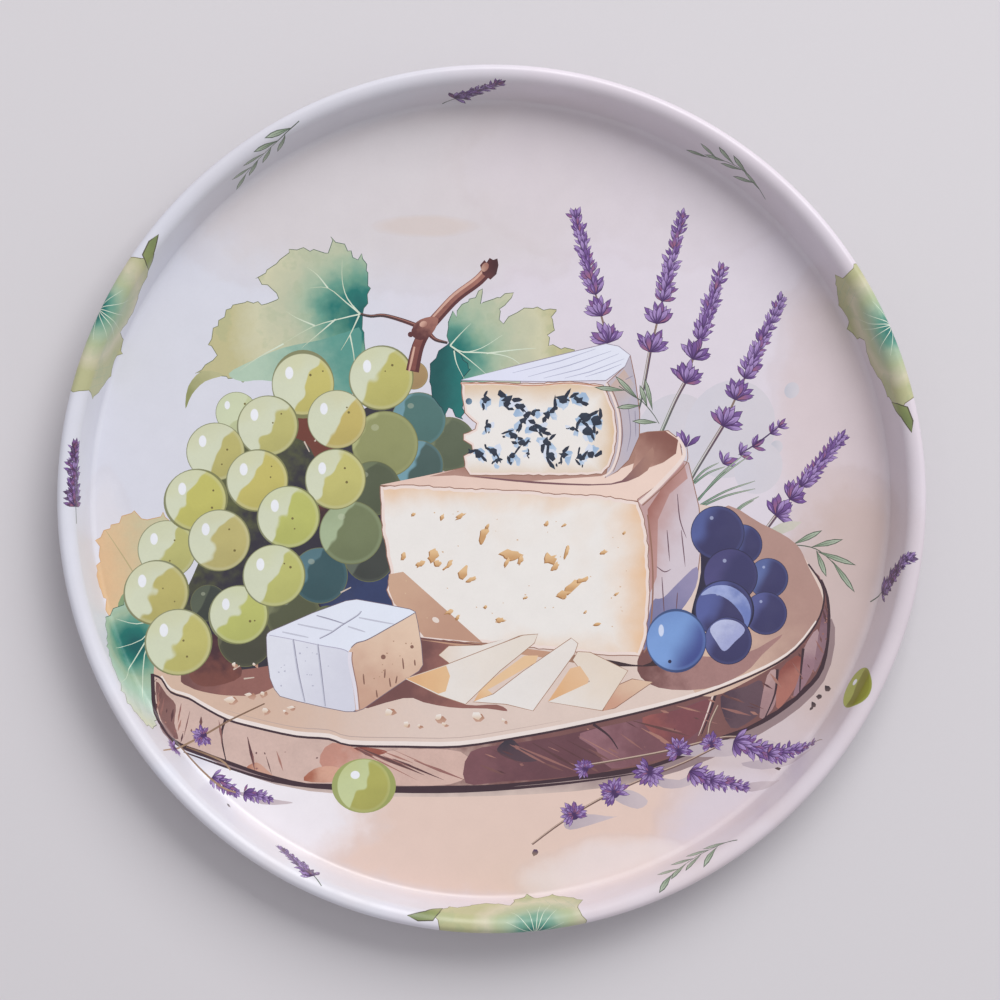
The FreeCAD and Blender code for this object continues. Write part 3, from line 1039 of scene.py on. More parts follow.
DARK_GRAPES = [((-30, 47.5), 5.5, mix(190, 166, 118), mix(168, 140, 98)),
               ((-16.5, 21), 10.5, mix(118, 126, 98), mix(92, 102, 80)),
               ((-28, 30.5), 10.5, TEAL, TEAL_DEEP), ((-28, 13), 9.5, TEAL, mix(70, 94, 90)),
               ((-41, 21), 12.8, mix(178, 182, 128), mix(146, 150, 100)),
               ((-45.5, 4), 10.5, mix(112, 122, 92), mix(84, 92, 70)),
               ((-47, -22.5), 9.5, mix(96, 104, 92), mix(62, 66, 62)),
               ((-76, -45), 10.5, mix(120, 124, 92), mix(84, 88, 64)),
               ((-66, -29.5), 10.8, mix(88, 124, 134), mix(54, 86, 92)),
               ((-54, -13), 12.2, mix(168, 184, 148), mix(116, 126, 90)),
               ((-94.5, -54), 10.5, mix(96, 96, 76), mix(72, 72, 58)),
               ((-63, -47), 6, mix(104, 110, 80), mix(70, 76, 56)),
               ((-108.5, -40), 7, mix(88, 96, 80), mix(60, 66, 60))]
chance = random.Random(9)
for middle, size, light, shade in DARK_GRAPES:
    round_fruit(dark_grape_brush, middle, size, light, shade, chance.random())

# Cut stalks and pale glints show in the gaps between the grapes.
for glint in ([(-72, 22), (-70, 18)], [(-103, -44), (-104.5, -50)], [(-68, 22), (-66, 25)],
              [(-101, -36), (-97, -39)], [(-93, -37), (-90.5, -34)], [(-58, -36), (-54, -34)],
              [(-99, -65.5), (-96.5, -64)], [(-95, -69), (-91, -68.5)]):
    stroke(gap_brush, glint, 1.0, mix(206, 190, 176), (0.6, 0.4))

# each grape: its middle and its size in mm, and how much longer than wide it is
GRAPES = [(-98, 33, 8, 1.0), (-72.5, 44, 12, 1.1), (-42.5, 46.5, 12.3, 1.03), (-86, 28, 11.6, 1.03),
          (-106, 18, 11.2, 1.0), (-90, 7, 11.8, 1.03), (-59.5, 30.5, 11.3, 1.0), (-60, 7.5, 11.6, 1.02),
          (-124.5, -19.5, 11.2, 1.0), (-113.5, -0.5, 11.8, 1.06), (-104.5, -16, 11.8, 1.02),
          (-78, -7, 11.9, 1.03), (-97, -44.5, 11.2, 1.05), (-83.5, -29.5, 11.9, 1.02),
          (-128.5, -36, 12.3, 1.04), (-120, -55, 12.7, 1.03)]
UPRIGHT = 90.0
SPOTS_ON_A_GRAPE = 2
GRAPE_YELLOW = (194, 186, 110)
FAR_GRAPE_LIGHT, FAR_GRAPE_SHADE = mix(206, 214, 180), mix(196, 204, 158)
for number, (east_at, north_at, size, stretch) in enumerate(GRAPES):
    tall = UPRIGHT if number == 1 else chance.uniform(20, 60)
    light, shade = FAR_GRAPE_LIGHT, FAR_GRAPE_SHADE
    if number > 0:
        light = GRAPE_LIGHT
        shade = mix(*(part + chance.randint(-6, 6) for part in GRAPE_YELLOW))
    round_fruit(grape_brush, (east_at, north_at), size, light, shade, chance.random(), stretch, tall)
    for _ in range(SPOTS_ON_A_GRAPE):
        spot = (east_at + size * chance.uniform(0.1, 0.7), north_at + size * chance.uniform(-0.5, 0.5))
        draw(gap_brush, ring(spot, chance.uniform(0.3, 0.55), 8), mix(120, 108, 60))


# ---- The branch and the leaf behind the cheese ---------------
# The grapes hang from a cut red-brown branch, light on its upper side, whose joint sends one
# tendril to the high leaf and one to a third leaf, which hangs down behind the cheeses.
BRANCH_LIGHT = mix(210, 168, 150)
BRANCH_MID = mix(160, 108, 96)
BRANCH_DARK = mix(92, 46, 48)
branch_brush = Brush("print_leaves", brushed("branch_ink", bleed=0.8, mottle=0.22, grain=2.0))

SIDE_LEAF = [(-16.5, 60), (-16.8, 66), (-15, 72.5), (-13.5, 70), (-11.5, 75), (-9, 76), (-3.5, 81),
             (-4.2, 75), (0.5, 77), (8.5, 79.5), (6, 75.5), (3, 73), (3, 69), (4.5, 67.5), (10, 72),
             (16, 73.5), (25, 73), (23, 70), (24, 66), (21.5, 63), (22, 59), (32, 57.5), (25, 52), (5, 42),
             (-12, 42), (-12.5, 46), (-14, 54)]
LOBE = [(-16.5, 60), (-20.5, 57), (-23.8, 52), (-24, 45), (-23, 39), (-20, 35.5), (-18, 32), (-16.5, 35),
        (-14, 31.5), (-11, 30.5), (-10.5, 38), (-11.5, 45), (-8, 50), (-12, 56)]
vine_leaf(leaf_brush, SIDE_LEAF, (-19, 54), (26, 72), 0.5, 21, 0.7)
outlined(vein_brush, toothed(LOBE, 0.5, 22), mix(24, 60, 66), LEAF_EDGE, mix(10, 84, 84), mix(24, 116, 112),
         (-22, 44), (-10, 44))
for vein in ([(-16, 59), (-11, 56.5), (-4, 58), (4, 63)], [(-11, 56.5), (0, 56), (8, 54), (13, 49.5)],
             [(-16, 59), (-8, 53), (-1, 47)], [(-16, 59), (-12.5, 63), (-8, 67.5)],
             [(-14.5, 57), (-13.5, 52), (-10.5, 46)], [(-2, 56), (10, 57.5), (17, 58)]):
    stroke(vein_brush, curve(vein, 3), 0.6, VEIN_PALE, (1.0, 0.15))

TENDRILS = [[(-26, 65.5), (-34, 68.5), (-41.5, 70.5), (-46.5, 70.2), (-50.5, 71)],
            [(-24, 63.5), (-21.5, 61.2), (-17, 60)]]
for tendril in TENDRILS:
    stroke(branch_brush, curve(tendril), 1.9, BRANCH_DARK, (1.0, 0.5), mix(56, 52, 54))
    stroke(branch_brush, curve(shifted(tendril, 0, 0.3)), 0.5, BRANCH_MID, (1.0, 0.2))
LIMB = [(0, 90), (-5, 84.2), (-13.5, 77.8), (-20, 71), (-25, 65), (-28.4, 58.5), (-30.5, 49)]
stroke(branch_brush, curve(LIMB), 4.6, BRANCH_DARK, (0.9, 1.1))
stroke(branch_brush, curve(shifted(LIMB, -0.4, 0.5)), 3.0, BRANCH_MID, (0.9, 1.0), mix(126, 72, 66))
stroke(branch_brush, curve(shifted(LIMB[:5], -0.9, 0.9)), 1.1, BRANCH_LIGHT, (0.6, 0.4))
stroke(branch_brush, curve(shifted(LIMB[5:], -1.3)), 0.9, BRANCH_LIGHT, (0.7, 0.7))
draw(branch_brush, loop([(-29, 68), (-24, 70), (-20.5, 69), (-23, 63.5), (-27.5, 61), (-31, 63.5)]),
     BRANCH_DARK, BRANCH_MID, (-28, 62), (-23, 70))
draw(branch_brush, ring((-31.2, 63.2), 1.1, 10), BRANCH_DARK)
draw(branch_brush, ring((-26.3, 67.2), 1.2, 10, 1.3, 20), BRANCH_LIGHT, BRANCH_MID, (-27, 68), (-25, 66))
CUT_END = [(-3.5, 86.5), (-4.5, 90), (-2.8, 92), (-2, 91), (-0.8, 92.8), (0.6, 92), (2.2, 92.6), (2.6, 90),
           (1.8, 86.5), (-0.5, 84.4)]
draw(branch_brush, CUT_END, BRANCH_DARK, mix(70, 36, 40), (-4, 88), (2, 90))
draw(branch_brush, ring((-2.6, 89.2), 1.3, 10, 1.5, 60), mix(190, 150, 132), BRANCH_MID, (-4, 89), (-1, 89))


# ---- The big cheese ------------------------------------------
# A tall wedge of yellow cheese stands on the board, with a brown rind on its top, a lilac side in
# shade, and a cream cut face with torn tan pockets, inked over a tan ground that is left as a line.
CREAM = mix(238, 234, 229)
TAN_GLOW = mix(232, 186, 138)
TAN_LINE = mix(150, 108, 92)
RIND_PALE = mix(238, 220, 212)
TOP_TAN = mix(230, 200, 186)
TOP_BROWN = mix(168, 126, 112)
SIDE_PINK = mix(194, 160, 158)
SIDE_LILAC = mix(212, 200, 208)
SIDE_BLUE = mix(116, 116, 156)
HOLE_TAN = mix(204, 158, 108)
cheese_brush = Brush("print_cheeses", brushed("cheese_ink", bleed=0.5, mottle=0.06, grain=6.0))


def ragged(points, amount, seed, spacing=2.0):
    """The outline with the slightly torn edge of cut cheese."""
    chance = random.Random(seed)
    torn = []
    for start, end in sides(points):
        run = (end[0] - start[0], end[1] - start[1])
        length = math.hypot(*run)
        torn.append(start)
        for step in range(1, int(length / spacing)):
            share = step * spacing / length + chance.uniform(-0.2, 0.2) * spacing / length
            out = chance.uniform(-1.0, 1.0) * amount
            torn.append((start[0] + run[0] * share - run[1] / length * out,
                         start[1] + run[1] * share + run[0] / length * out))
    return torn


def cheese_face(name, glow_right, glow_top, glow_low):
    """Ink of a cut face: cream in the middle, glowing tan towards its right, top and lower edges."""
    mixed = ink(name)
    along, aside, _ = three(mixed, attribute(mixed, "place"))
    wander = (mixed.noise(16.0, detail=4.0) - 0.5) * 0.16
    right = (along + wander).rise(*glow_right)
    top = (aside + wander).rise(*glow_top)
    low = (aside + wander).rise(*glow_low)
    glow = right.most(top * 0.85).most(low * 0.6).most(mixed.noise(26.0, detail=3.0).rise(0.5, 0.75) * 0.1)
    colour = mixed.blend(glow, attribute(mixed, "pigment"), attribute(mixed, "far_pigment"))
    mixed.coat("Base Color", granulated(mixed, colour, 0.06))
    return mixed


big_face_ink = cheese_face("big_cheese_face_ink", (0.8, 1.06), (0.46, 0.64), (0.06, -0.1))
big_face_brush = Brush("print_cheeses", big_face_ink)
CUT_LINE = 0.35              # how wide the tan line round a piece of cheese is, in mm

BIG_TOP = [(-43, 5), (-9.5, 12.5), (20, 16), (60, 26), (68, 26.5), (72.5, 23), (74, 14), (66, 6), (56, -1),
           (20, 2)]
BIG_SIDE = [(56, 0), (66, 7), (73.5, 15), (76, 14), (80, -3), (81, -16), (79.5, -29), (76, -38), (70, -47),
            (60.5, -56), (56, -60), (60, -30)]
BIG_FRONT = [(-43, 5), (-30, 5.5), (-10, 4), (10, 3.5), (26, 2), (42, 1.5), (56.5, -1), (59, -8),
             (60.5, -20), (61, -36), (59.5, -54), (57, -60.5), (41, -60), (22, -58), (-4.5, -55.5),
             (-27.5, -54), (-32, -47.5), (-38, -41), (-40.5, -35), (-39, -28), (-42, -14)]
draw(cheese_brush,
     loop([(-28, -54), (0, -56), (40, -61), (58, -64), (64, -60), (66, -64), (40, -64), (20, -61)]),
     mix(196, 152, 126), mix(60, 40, 46), (20, -60), (44, -60))
outlined(cheese_brush, BIG_TOP, TAN_LINE, CUT_LINE, TOP_TAN, mix(238, 212, 198), (-43, 5), (40, 4))
draw(cheese_brush,
     [(-11, 12), (20, 15.8), (58, 25.5), (67, 26), (72, 22.8), (70, 17), (58, 15), (42, 8.8), (10, 6.5),
      (-14, 9), (-24, 8.6)], TOP_BROWN, mix(190, 152, 140), (20, 14), (20, 2))
draw(cheese_brush,
     [(53, 24), (60, 25.7), (67, 26.1), (71.8, 22.6), (71, 17.5), (66, 14), (59, 11.5), (54, 11),
      (55.5, 17)], mix(134, 86, 76), mix(184, 142, 128), (66, 25), (56, 11))
outlined(cheese_brush, BIG_SIDE, TAN_LINE, CUT_LINE, SIDE_PINK, SIDE_LILAC, (60, -8), (76, -14))
draw(cheese_brush, [(60, -4), (66, 5), (74, 14), (75.5, 8), (68.5, 2), (64, -8), (63.5, -30), (61, -36)],
     mix(160, 104, 94), mix(188, 144, 138), (60, 0), (70, -4))
draw(cheese_brush,
     loop([(61.5, -40), (66, -38), (72, -32), (79, -26), (78.5, -34), (72, -44), (61.5, -55), (58.5, -58)]),
     SIDE_BLUE, mix(150, 142, 176), (62, -52), (78, -28))
for crack in ([(71.5, 2), (72.5, -8), (75, -15)], [(67.5, -12), (68.5, -24)], [(73, -12), (74.5, -26)],
              [(65.5, -30), (66.5, -46)], [(71.5, -36), (71, -43)], [(63.5, -26), (66.5, -28), (69, -27)]):
    stroke(cheese_brush, curve(crack), 0.5, mix(112, 84, 96), (0.4, 0.2))
front = ragged(BIG_FRONT, 0.3, 31)
outlined(cheese_brush, front, TAN_LINE, CUT_LINE, RIND_PALE)
draw(big_face_brush, inset(front, 1.5), CREAM, TAN_GLOW, (-42, -55), (61, -55))
TRIANGLE = [(-39.5, -29), (-34, -28), (-3.5, -55.2), (-26, -53), (-31.5, -46.5), (-37.5, -40), (-39.5, -35)]
draw(cheese_brush, TRIANGLE, mix(206, 168, 142), mix(192, 150, 128), (-36, -32), (-14, -52))
draw(cheese_brush, ring((-21.5, -46.5), 1.0, 10, 1.5, -30), mix(232, 218, 208))
stroke(cheese_brush, [(-28, -53.5), (-14, -55.2), (-2, -56.2), (6, -56.4)], 0.8, mix(120, 78, 74),
       (1.0, 0.2))
stroke(cheese_brush, curve([(57, -1.5), (61, 2), (67, 8), (73.5, 15.5), (73.8, 20), (71.5, 24)]), 1.9,
       RIND_PALE, (0.9, 0.5))
stroke(cheese_brush, curve([(58, -2.5), (62, 1), (68, 6.6), (75, 13.8), (75.2, 20)]), 0.5, TAN_LINE,
       (0.9, 0.5))
stroke(cheese_brush, curve([(60, -6), (61.6, -20), (62, -36), (60.6, -54), (58.5, -59)]), 0.6, TAN_LINE,
       (0.9, 0.9))


def speck(brush, middle, size, near, far, chance, points=7):
    """A small hole or fleck with an uneven outline."""
    outline = []
    for step in range(points):
        angle = math.tau * step / points
        reach = size * chance.uniform(0.45, 1.25)
        outline.append((middle[0] + reach * math.cos(angle) * 1.2, middle[1] + reach * math.sin(angle)))
    draw(brush, outline, near, far, (middle[0], middle[1] + size), (middle[0], middle[1] - size))


def uneven(middle, length, width, turn, chance, corners, along_by, aside_by, wobble=0.0):
    """An uneven oval. Each corner is drawn out, along and aside, by shares from the two ranges."""
    outline = []
    for step in range(corners):
        angle = math.tau * step / corners
        if wobble > 0.0:
            angle += chance.uniform(-wobble, wobble)
        along = length / 2 * math.cos(angle) * chance.uniform(*along_by)
        aside = width / 2 * math.sin(angle) * chance.uniform(*aside_by)
        outline.append(turned(middle, along, aside, math.radians(turn)))
    return outline


def pocket(middle, length, width, turn, chance):
    """A torn pocket in the cut face: an uneven tan hollow with a darker lower edge."""
    length, width = length * 1.2, width * 1.35
    hollow = uneven(middle, length, width, turn, chance, 11, (0.45, 1.25), (0.35, 1.4))
    draw(cheese_brush, shifted(hollow, -0.3, -0.3), mix(168, 120, 74), mix(196, 146, 92), middle,
         (middle[0] + length, middle[1]))
    draw(cheese_brush, shifted(hollow, 0.1, 0.1), HOLE_TAN, mix(228, 190, 142),
         (middle[0], middle[1] - width / 2), (middle[0], middle[1] + width / 2))


# each pocket: its middle, its length and width in mm, and its turn in degrees
POCKETS = [((-34, -22), 2.6, 1.2, 70), ((-27.5, -25), 3.4, 1.4, 20), ((-22.5, -22), 5.2, 2.6, 65),
           ((-20.5, -25), 3.0, 1.8, -30), ((-16.5, -25.5), 4.4, 1.6, 40), ((-11, -28.5), 5.2, 2.0, 70),
           ((-8, -31), 3.2, 1.4, 20), ((-3, -13.5), 5.6, 2.2, 75), ((-1.5, -10.5), 2.4, 1.0, 80),
           ((8, -21.5), 8.5, 3.0, -2), ((6, -24.5), 3.4, 1.3, 60), ((11, -23.5), 3.0, 1.4, 80),
           ((22, -23), 5.6, 3.0, 10), ((24.5, -26), 3.4, 1.6, 50), ((29, -20.5), 4.2, 1.4, 75),
           ((31.5, -33.5), 7.5, 2.4, 38), ((27.5, -36.5), 4.6, 2.2, 10), ((35, -31), 4.4, 1.6, 25),
           ((43, -20.5), 3.0, 1.3, 10), ((-16.5, -43.5), 2.8, 1.4, 15), ((-13, -45.5), 2.0, 0.9, 40),
           ((3.5, -46.5), 3.6, 1.4, -6), ((-2.5, -41.5), 1.4, 0.9, 0), ((-12, -6.5), 4.4, 1.2, 35),
           ((-19, -7), 2.0, 1.0, 70), ((21, -9.5), 1.8, 1.0, 80), ((28, -10), 1.6, 0.9, 20),
           ((40.5, -48), 2.4, 0.8, 5), ((48, -36.5), 1.6, 0.7, 30), ((-30, -6), 1.4, 0.8, 45),
           ((13, -38), 1.4, 0.8, 10), ((36, -43.5), 1.4, 0.7, 30), ((51, -13), 1.3, 0.7, 60)]
chance = random.Random(17)
for middle, length, width, turn in POCKETS:
    pocket(middle, length, width, turn, chance)
FACE_SPECKS = 34
for _ in range(FACE_SPECKS):
    at = (chance.uniform(-38, 54), chance.uniform(-50, -2))
    speck(cheese_brush, at, chance.uniform(0.2, 0.42), mix(206, 168, 132), mix(222, 196, 168), chance, 5)


# ---- The blue cheese -----------------------------------------
# A smaller wedge of blue cheese stands on the big one. Its rind is white and grooved, and splinters
# of navy mould with pale blue edges are inked over its cut face.
VEIN_NAVY = mix(36, 44, 62)
VEIN_BLUE = mix(176, 198, 222)
WHITE_RIND = mix(228, 231, 244)
blue_face_ink = cheese_face("blue_cheese_face_ink", (0.8, 1.0), (0.44, 0.62), (0.12, -0.02))
blue_face_brush = Brush("print_cheeses", blue_face_ink)
BLUE_TOP = [(-12, 45.5), (9.5, 51.5), (44, 60), (49, 59), (53.5, 55.5), (51.5, 51), (44, 45.5), (20, 45)]
BLUE_SIDE = [(44, 44.5), (51, 51), (53.5, 55.5), (55.5, 46), (57.2, 33), (57, 24), (53, 15), (48.5, 10.5),
             (43.5, 8), (46, 20)]
BLUE_FRONT = [(-12, 45), (2, 45), (16, 44.5), (30, 45.5), (43, 44), (45, 40), (47.5, 34), (48.4, 26),
              (47.5, 18), (45.5, 12.5), (42.5, 9.4), (30, 8.8), (10, 9), (-8.5, 9), (-10.5, 12),
              (-11, 16.5), (-7.5, 18.5), (-7.8, 20.5), (-11, 22.5), (-11, 25), (-6.5, 27), (-6, 29),
              (-10.5, 33)]
draw(cheese_brush, loop([(-9, 9), (20, 6.5), (46, 6), (54, 11), (62, 20), (60, 11), (46, 5.5), (16, 6)]),
     mix(122, 84, 90), TOP_BROWN, (46, 9), (62, 16))
outlined(cheese_brush, BLUE_SIDE, TAN_LINE, CUT_LINE, mix(196, 184, 190), mix(186, 180, 194), (46, 30),
         (57, 30))
draw(cheese_brush, [(44.5, 42), (51, 50), (55, 44), (52, 36), (47.5, 38)], mix(200, 176, 166),
     mix(190, 186, 196), (46, 46), (54, 36))
for groove in ([(49.5, 34), (50.5, 24), (49, 17)], [(52.5, 36), (53.5, 26), (52, 18)],
               [(55.2, 34), (55.5, 24)], [(51.5, 46), (54.5, 47.5)]):
    stroke(cheese_brush, curve(groove), 0.4, mix(150, 142, 160), (0.5, 0.3))
outlined(cheese_brush, BLUE_TOP, mix(150, 140, 156), 0.3, mix(226, 228, 246), WHITE_RIND, (-12, 45),
         (50, 58))
for groove in ([(14, 47), (30, 51.5), (46, 57)], [(20, 46.5), (34, 50), (49, 56)],
               [(28, 46.5), (38, 49), (51, 54)], [(8, 48.5), (26, 53), (40, 57.8)],
               [(36, 47), (44, 49.5), (50, 52)]):
    stroke(cheese_brush, groove, 0.4, mix(180, 182, 204), (0.4, 0.4))
front = ragged(BLUE_FRONT, 0.25, 33)
outlined(cheese_brush, front, TAN_LINE, CUT_LINE, RIND_PALE)
draw(blue_face_brush, inset(front, 1.2), CREAM, mix(222, 192, 156), (-10, 9), (48, 9))
stroke(cheese_brush, curve([(-12, 44.3), (2, 44.4), (16, 43.6), (30, 44.6), (43.5, 43.2)]), 0.5,
       mix(196, 140, 112), (0.6, 0.8))
stroke(cheese_brush,
       curve([(44, 44.5), (46.3, 40), (48.6, 33), (49.4, 25), (48.4, 17), (46, 11), (43, 8.6)]), 0.9,
       RIND_PALE, (0.8, 0.8))
stroke(cheese_brush, curve([(44.8, 44.5), (47.2, 40), (49.5, 33), (50.2, 25), (49.2, 17), (46.8, 10.6)]),
       0.4, TAN_LINE, (0.8, 0.6))


def shard(middle, length, width, turn, near, far, chance):
    """A splinter of blue mould: a few straight cuts round a long middle."""
    outline = uneven(middle, length, width, turn, chance, 6, (0.7, 1.2), (0.6, 1.3), 0.35)
    draw(cheese_brush, outline, near, far, middle, (middle[0] + length / 2, middle[1] - length / 2))


# each spot of blue mould: its middle, its turn in degrees and how big it is
MOULD = [((-2.5, 38), 60, 1.0), ((6, 38.5), 120, 1.3), ((10.5, 35.5), -40, 1.2), ((27, 38.5), 40, 1.3),
         ((33.5, 38), -20, 1.2), ((21.5, 32.5), 55, 1.1), ((36, 31), 30, 1.4), ((40.5, 30), 70, 1.3),
         ((36.5, 26), -60, 1.3), ((12, 30), 40, 1.2), ((16, 27), -55, 1.2), ((8, 24.5), -10, 1.0),
         ((11, 21.5), 170, 1.0), ((-1.5, 28), 80, 0.7), ((-5, 17.5), -40, 1.1), ((0.5, 18), -60, 1.1),
         ((8, 17), 60, 1.0), ((21, 22), 60, 1.2), ((19.5, 27), -35, 1.0), ((23, 16.5), 100, 1.2),
         ((27.5, 17), 45, 1.0), ((34, 16), 85, 1.0), ((38.5, 17.5), 15, 1.1), ((16, 33), 15, 0.8),
         ((2, 14.5), 10, 0.6), ((31, 27), -20, 0.6), ((14, 17.5), 80, 0.5)]
chance = random.Random(41)
for middle, turn, size in MOULD:
    for _ in range(3):
        beside = (middle[0] + chance.uniform(-1.8, 2.2), middle[1] + chance.uniform(-2.4, 1.2))
        facet = chance.choice([VEIN_BLUE, mix(216, 224, 238), mix(160, 186, 214)])
        shard(beside, 4.6 * size, 2.8 * size, turn + chance.uniform(-80, 80), facet, mix(214, 224, 236),
              chance)
    speck(cheese_brush, middle, 1.5 * size, mix(44, 56, 74), VEIN_NAVY, chance, 9)
    for index in range(2):
        at = ahead_of(middle, turn + 180 * index + chance.uniform(-30, 30), 2.3 * size)
        shard(at, chance.uniform(3.2, 5.2) * size, chance.uniform(1.0, 1.8) * size,
              turn + 40 * index + chance.uniform(-20, 20), VEIN_NAVY,
              chance.choice([mix(50, 62, 84), mix(40, 74, 92), mix(44, 56, 74)]), chance)
    shard(ahead_of(middle, turn + 200, 3.4 * size), 1.5 * size, 0.8 * size, turn, VEIN_NAVY,
          mix(60, 90, 110), chance)
draw(cheese_brush, ring((-8.8, 37.5), 1.3, 10), mix(70, 96, 120), mix(112, 140, 164), (-10, 38), (-8, 37))
sage(Brush("print_cheeses", lavender_ink), [(49, 43.5), (54, 40), (58, 37.5), (62, 33), (64.5, 29)],
     [((51.5, 41.8), (39.5, 43)), ((56.5, 38.5), (47.5, 47.5)), ((57.5, 36), (48, 35.2)),
      ((62, 34), (59, 46.5)), ((64, 29.5), (54, 30)), ((60, 35.5), (57, 44))], 0.9)


# ---- The white block -----------------------------------------
# A block of white cheese lies in front of the wedge, cut open on its right, where it is tan with
# small holes. Its rind is scored by pale grey grooves, four of them with a dark line beside them.
RIND_GREY = mix(196, 198, 212)
# its six edges, each from its higher or its left end
BACK_EDGE = [(-86.3, -53.2), (-86, -51.9), (-84.9, -50.9), (-80.3, -49), (-68.6, -43.9), (-56, -39.3),
             (-51.8, -38.7), (-40.9, -40.6), (-31.3, -42.5), (-29.4, -43.5)]
LEFT_EDGE = [(-85.3, -52.3), (-76.1, -54), (-66.1, -56.1), (-57.7, -57.6), (-55, -58.8)]
RIGHT_EDGE = [(-29.4, -43.7), (-32.6, -45.6), (-39.3, -49.4), (-47.6, -54), (-51.8, -55.3), (-53.9, -57.1)]
NEAR_EDGE = [(-55, -58.8), (-55.2, -62), (-54.3, -67), (-53.1, -72.9), (-52.2, -80.9)]
LEFT_FOOT = [(-86.3, -53.2), (-86, -60.3), (-84.9, -68.7), (-83.2, -72.9), (-81.1, -75.6), (-74.4, -77.5),
             (-63.6, -80), (-56, -81.5), (-53.1, -81.5)]
RIGHT_FOOT = [(-29.4, -43.7), (-28.5, -47.7), (-27.1, -56.1), (-26.5, -63.7), (-28, -66), (-33.4, -69.5),
              (-40.9, -74.6), (-49.3, -80.5), (-52.2, -81.5)]
BLOCK_LINE = mix(118, 104, 118)
BLOCK_TAN = mix(228, 200, 176)
BLOCK_HOLE = mix(136, 98, 84)
draw(cheese_brush, inset(BACK_EDGE + RIGHT_FOOT + LEFT_FOOT[::-1], -0.25), BLOCK_LINE)
draw(cheese_brush, LEFT_FOOT + NEAR_EDGE[::-1] + LEFT_EDGE[::-1], mix(226, 228, 238), mix(214, 215, 228),
     (-86, -60), (-54, -78))
draw(cheese_brush, RIGHT_FOOT + NEAR_EDGE[::-1] + RIGHT_EDGE[::-1], BLOCK_TAN, mix(202, 162, 140),
     (-36, -46), (-50, -80))
draw(cheese_brush, BACK_EDGE + RIGHT_EDGE + LEFT_EDGE[::-1], WHITE_RIND, mix(230, 236, 248), (-86, -50),
     (-40, -44))
stroke(cheese_brush, curve(RIGHT_EDGE), 0.4, BLOCK_LINE, (0.7, 0.9))
stroke(cheese_brush, curve(LEFT_EDGE), 0.4, mix(178, 176, 196), (0.6, 0.9))
stroke(cheese_brush, curve(shifted(NEAR_EDGE, 0.7)), 1.6, mix(226, 222, 232), (0.8, 0.6))
stroke(cheese_brush, curve(shifted(NEAR_EDGE, 1.6)), 0.4, mix(150, 112, 104), (0.8, 0.6))
GROOVES = [[(-76.3, -53.8), (-74.4, -66.2), (-71.8, -77.9)], [(-66.9, -55.7), (-65.6, -66.2), (-64, -79.6)],
           [(-66.1, -53.6), (-61.9, -51.5), (-57.7, -48.6), (-53.5, -46), (-51.2, -44.4), (-50.2, -43.1)],
           [(-67.3, -44.8), (-61.9, -46.3), (-56.9, -47.9)], [(-55.2, -49), (-48.5, -51.1)],
           [(-51, -45.6), (-44.3, -46.9), (-37.6, -48.1)], [(-74.4, -48.1), (-66.1, -49.8), (-61, -50.7)],
           [(-80.3, -51.1), (-70.3, -53.2)]]
for groove in GROOVES:
    stroke(cheese_brush, curve(groove), 0.7, RIND_GREY, (0.7, 0.5))
for groove in GROOVES[:4]:
    stroke(cheese_brush, curve(shifted(groove, 0.3)), 0.35, mix(142, 140, 162), (0.7, 0.5))
for crack in ([(-49.3, -67.1), (-48.9, -71.2)], [(-40.9, -65.3), (-41.1, -68.7)],
              [(-44.3, -73.3), (-43.9, -76.2)], [(-34.2, -61.1), (-33.8, -65.3)],
              [(-39.3, -68.7), (-38.8, -72.1)], [(-36.3, -67.9), (-36.8, -70.8)],
              [(-29.6, -61.7), (-29.4, -64)]):
    stroke(cheese_brush, curve(crack), 0.7, BLOCK_HOLE, (0.3, 0.6))
for hole, size in (((-41.6, -60.7), 0.95), ((-30.6, -56.8), 0.7)):
    draw(cheese_brush, ring(hole, size, 10), BLOCK_HOLE)
chance = random.Random(61)
TAN_SPECKS, WHITE_SPECKS = 12, 16
for _ in range(TAN_SPECKS):
    across, up = chance.random(), chance.random()
    speck(cheese_brush, (-50 + 20 * across, -74 + 14 * across + up * 14), chance.uniform(0.2, 0.45),
          mix(168, 130, 108), mix(186, 148, 124), chance, 5)
for _ in range(WHITE_SPECKS):
    speck(cheese_brush, (-83 + 26 * chance.random(), -72 + 16 * chance.random()), chance.uniform(0.2, 0.45),
          RIND_GREY, mix(176, 176, 196), chance, 5)


# ---- The slices and crumbs -----------------------------------
# Thin slices of the yellow cheese lie fanned out on the board, their cut sides a warm tan. Crumbs
# are strewn before them, each a pale speck over the small brown shadow that it throws.
SLICE_PALE = mix(232, 225, 218)
SLICE_WARM = mix(224, 176, 128)
SLICES = [([(-20.5, -60), (-16.5, -56.3), (-4, -56), (12, -52.2), (-8, -60.5), (-16, -63.5)],
           mix(228, 212, 198), mix(234, 226, 218)),
          ([(21.5, -78), (37.5, -70), (31, -62), (33, -58.5), (38, -58.8), (52.5, -66), (42.5, -81.5)],
           SLICE_PALE, mix(230, 216, 200)),
          ([(-7.5, -78), (0.5, -74.8), (12, -66), (30.5, -53.3), (33.3, -55.5), (32, -59.5), (16, -81.5),
            (5.5, -79)], mix(234, 230, 226), SLICE_PALE),
          ([(-33.5, -69), (-17.5, -63.5), (-2, -57.5), (12, -52.2), (17.8, -51.8), (16.5, -55.5),
            (3.5, -66), (-10, -79), (-20.5, -75.5)], mix(234, 228, 222), mix(232, 222, 210))]
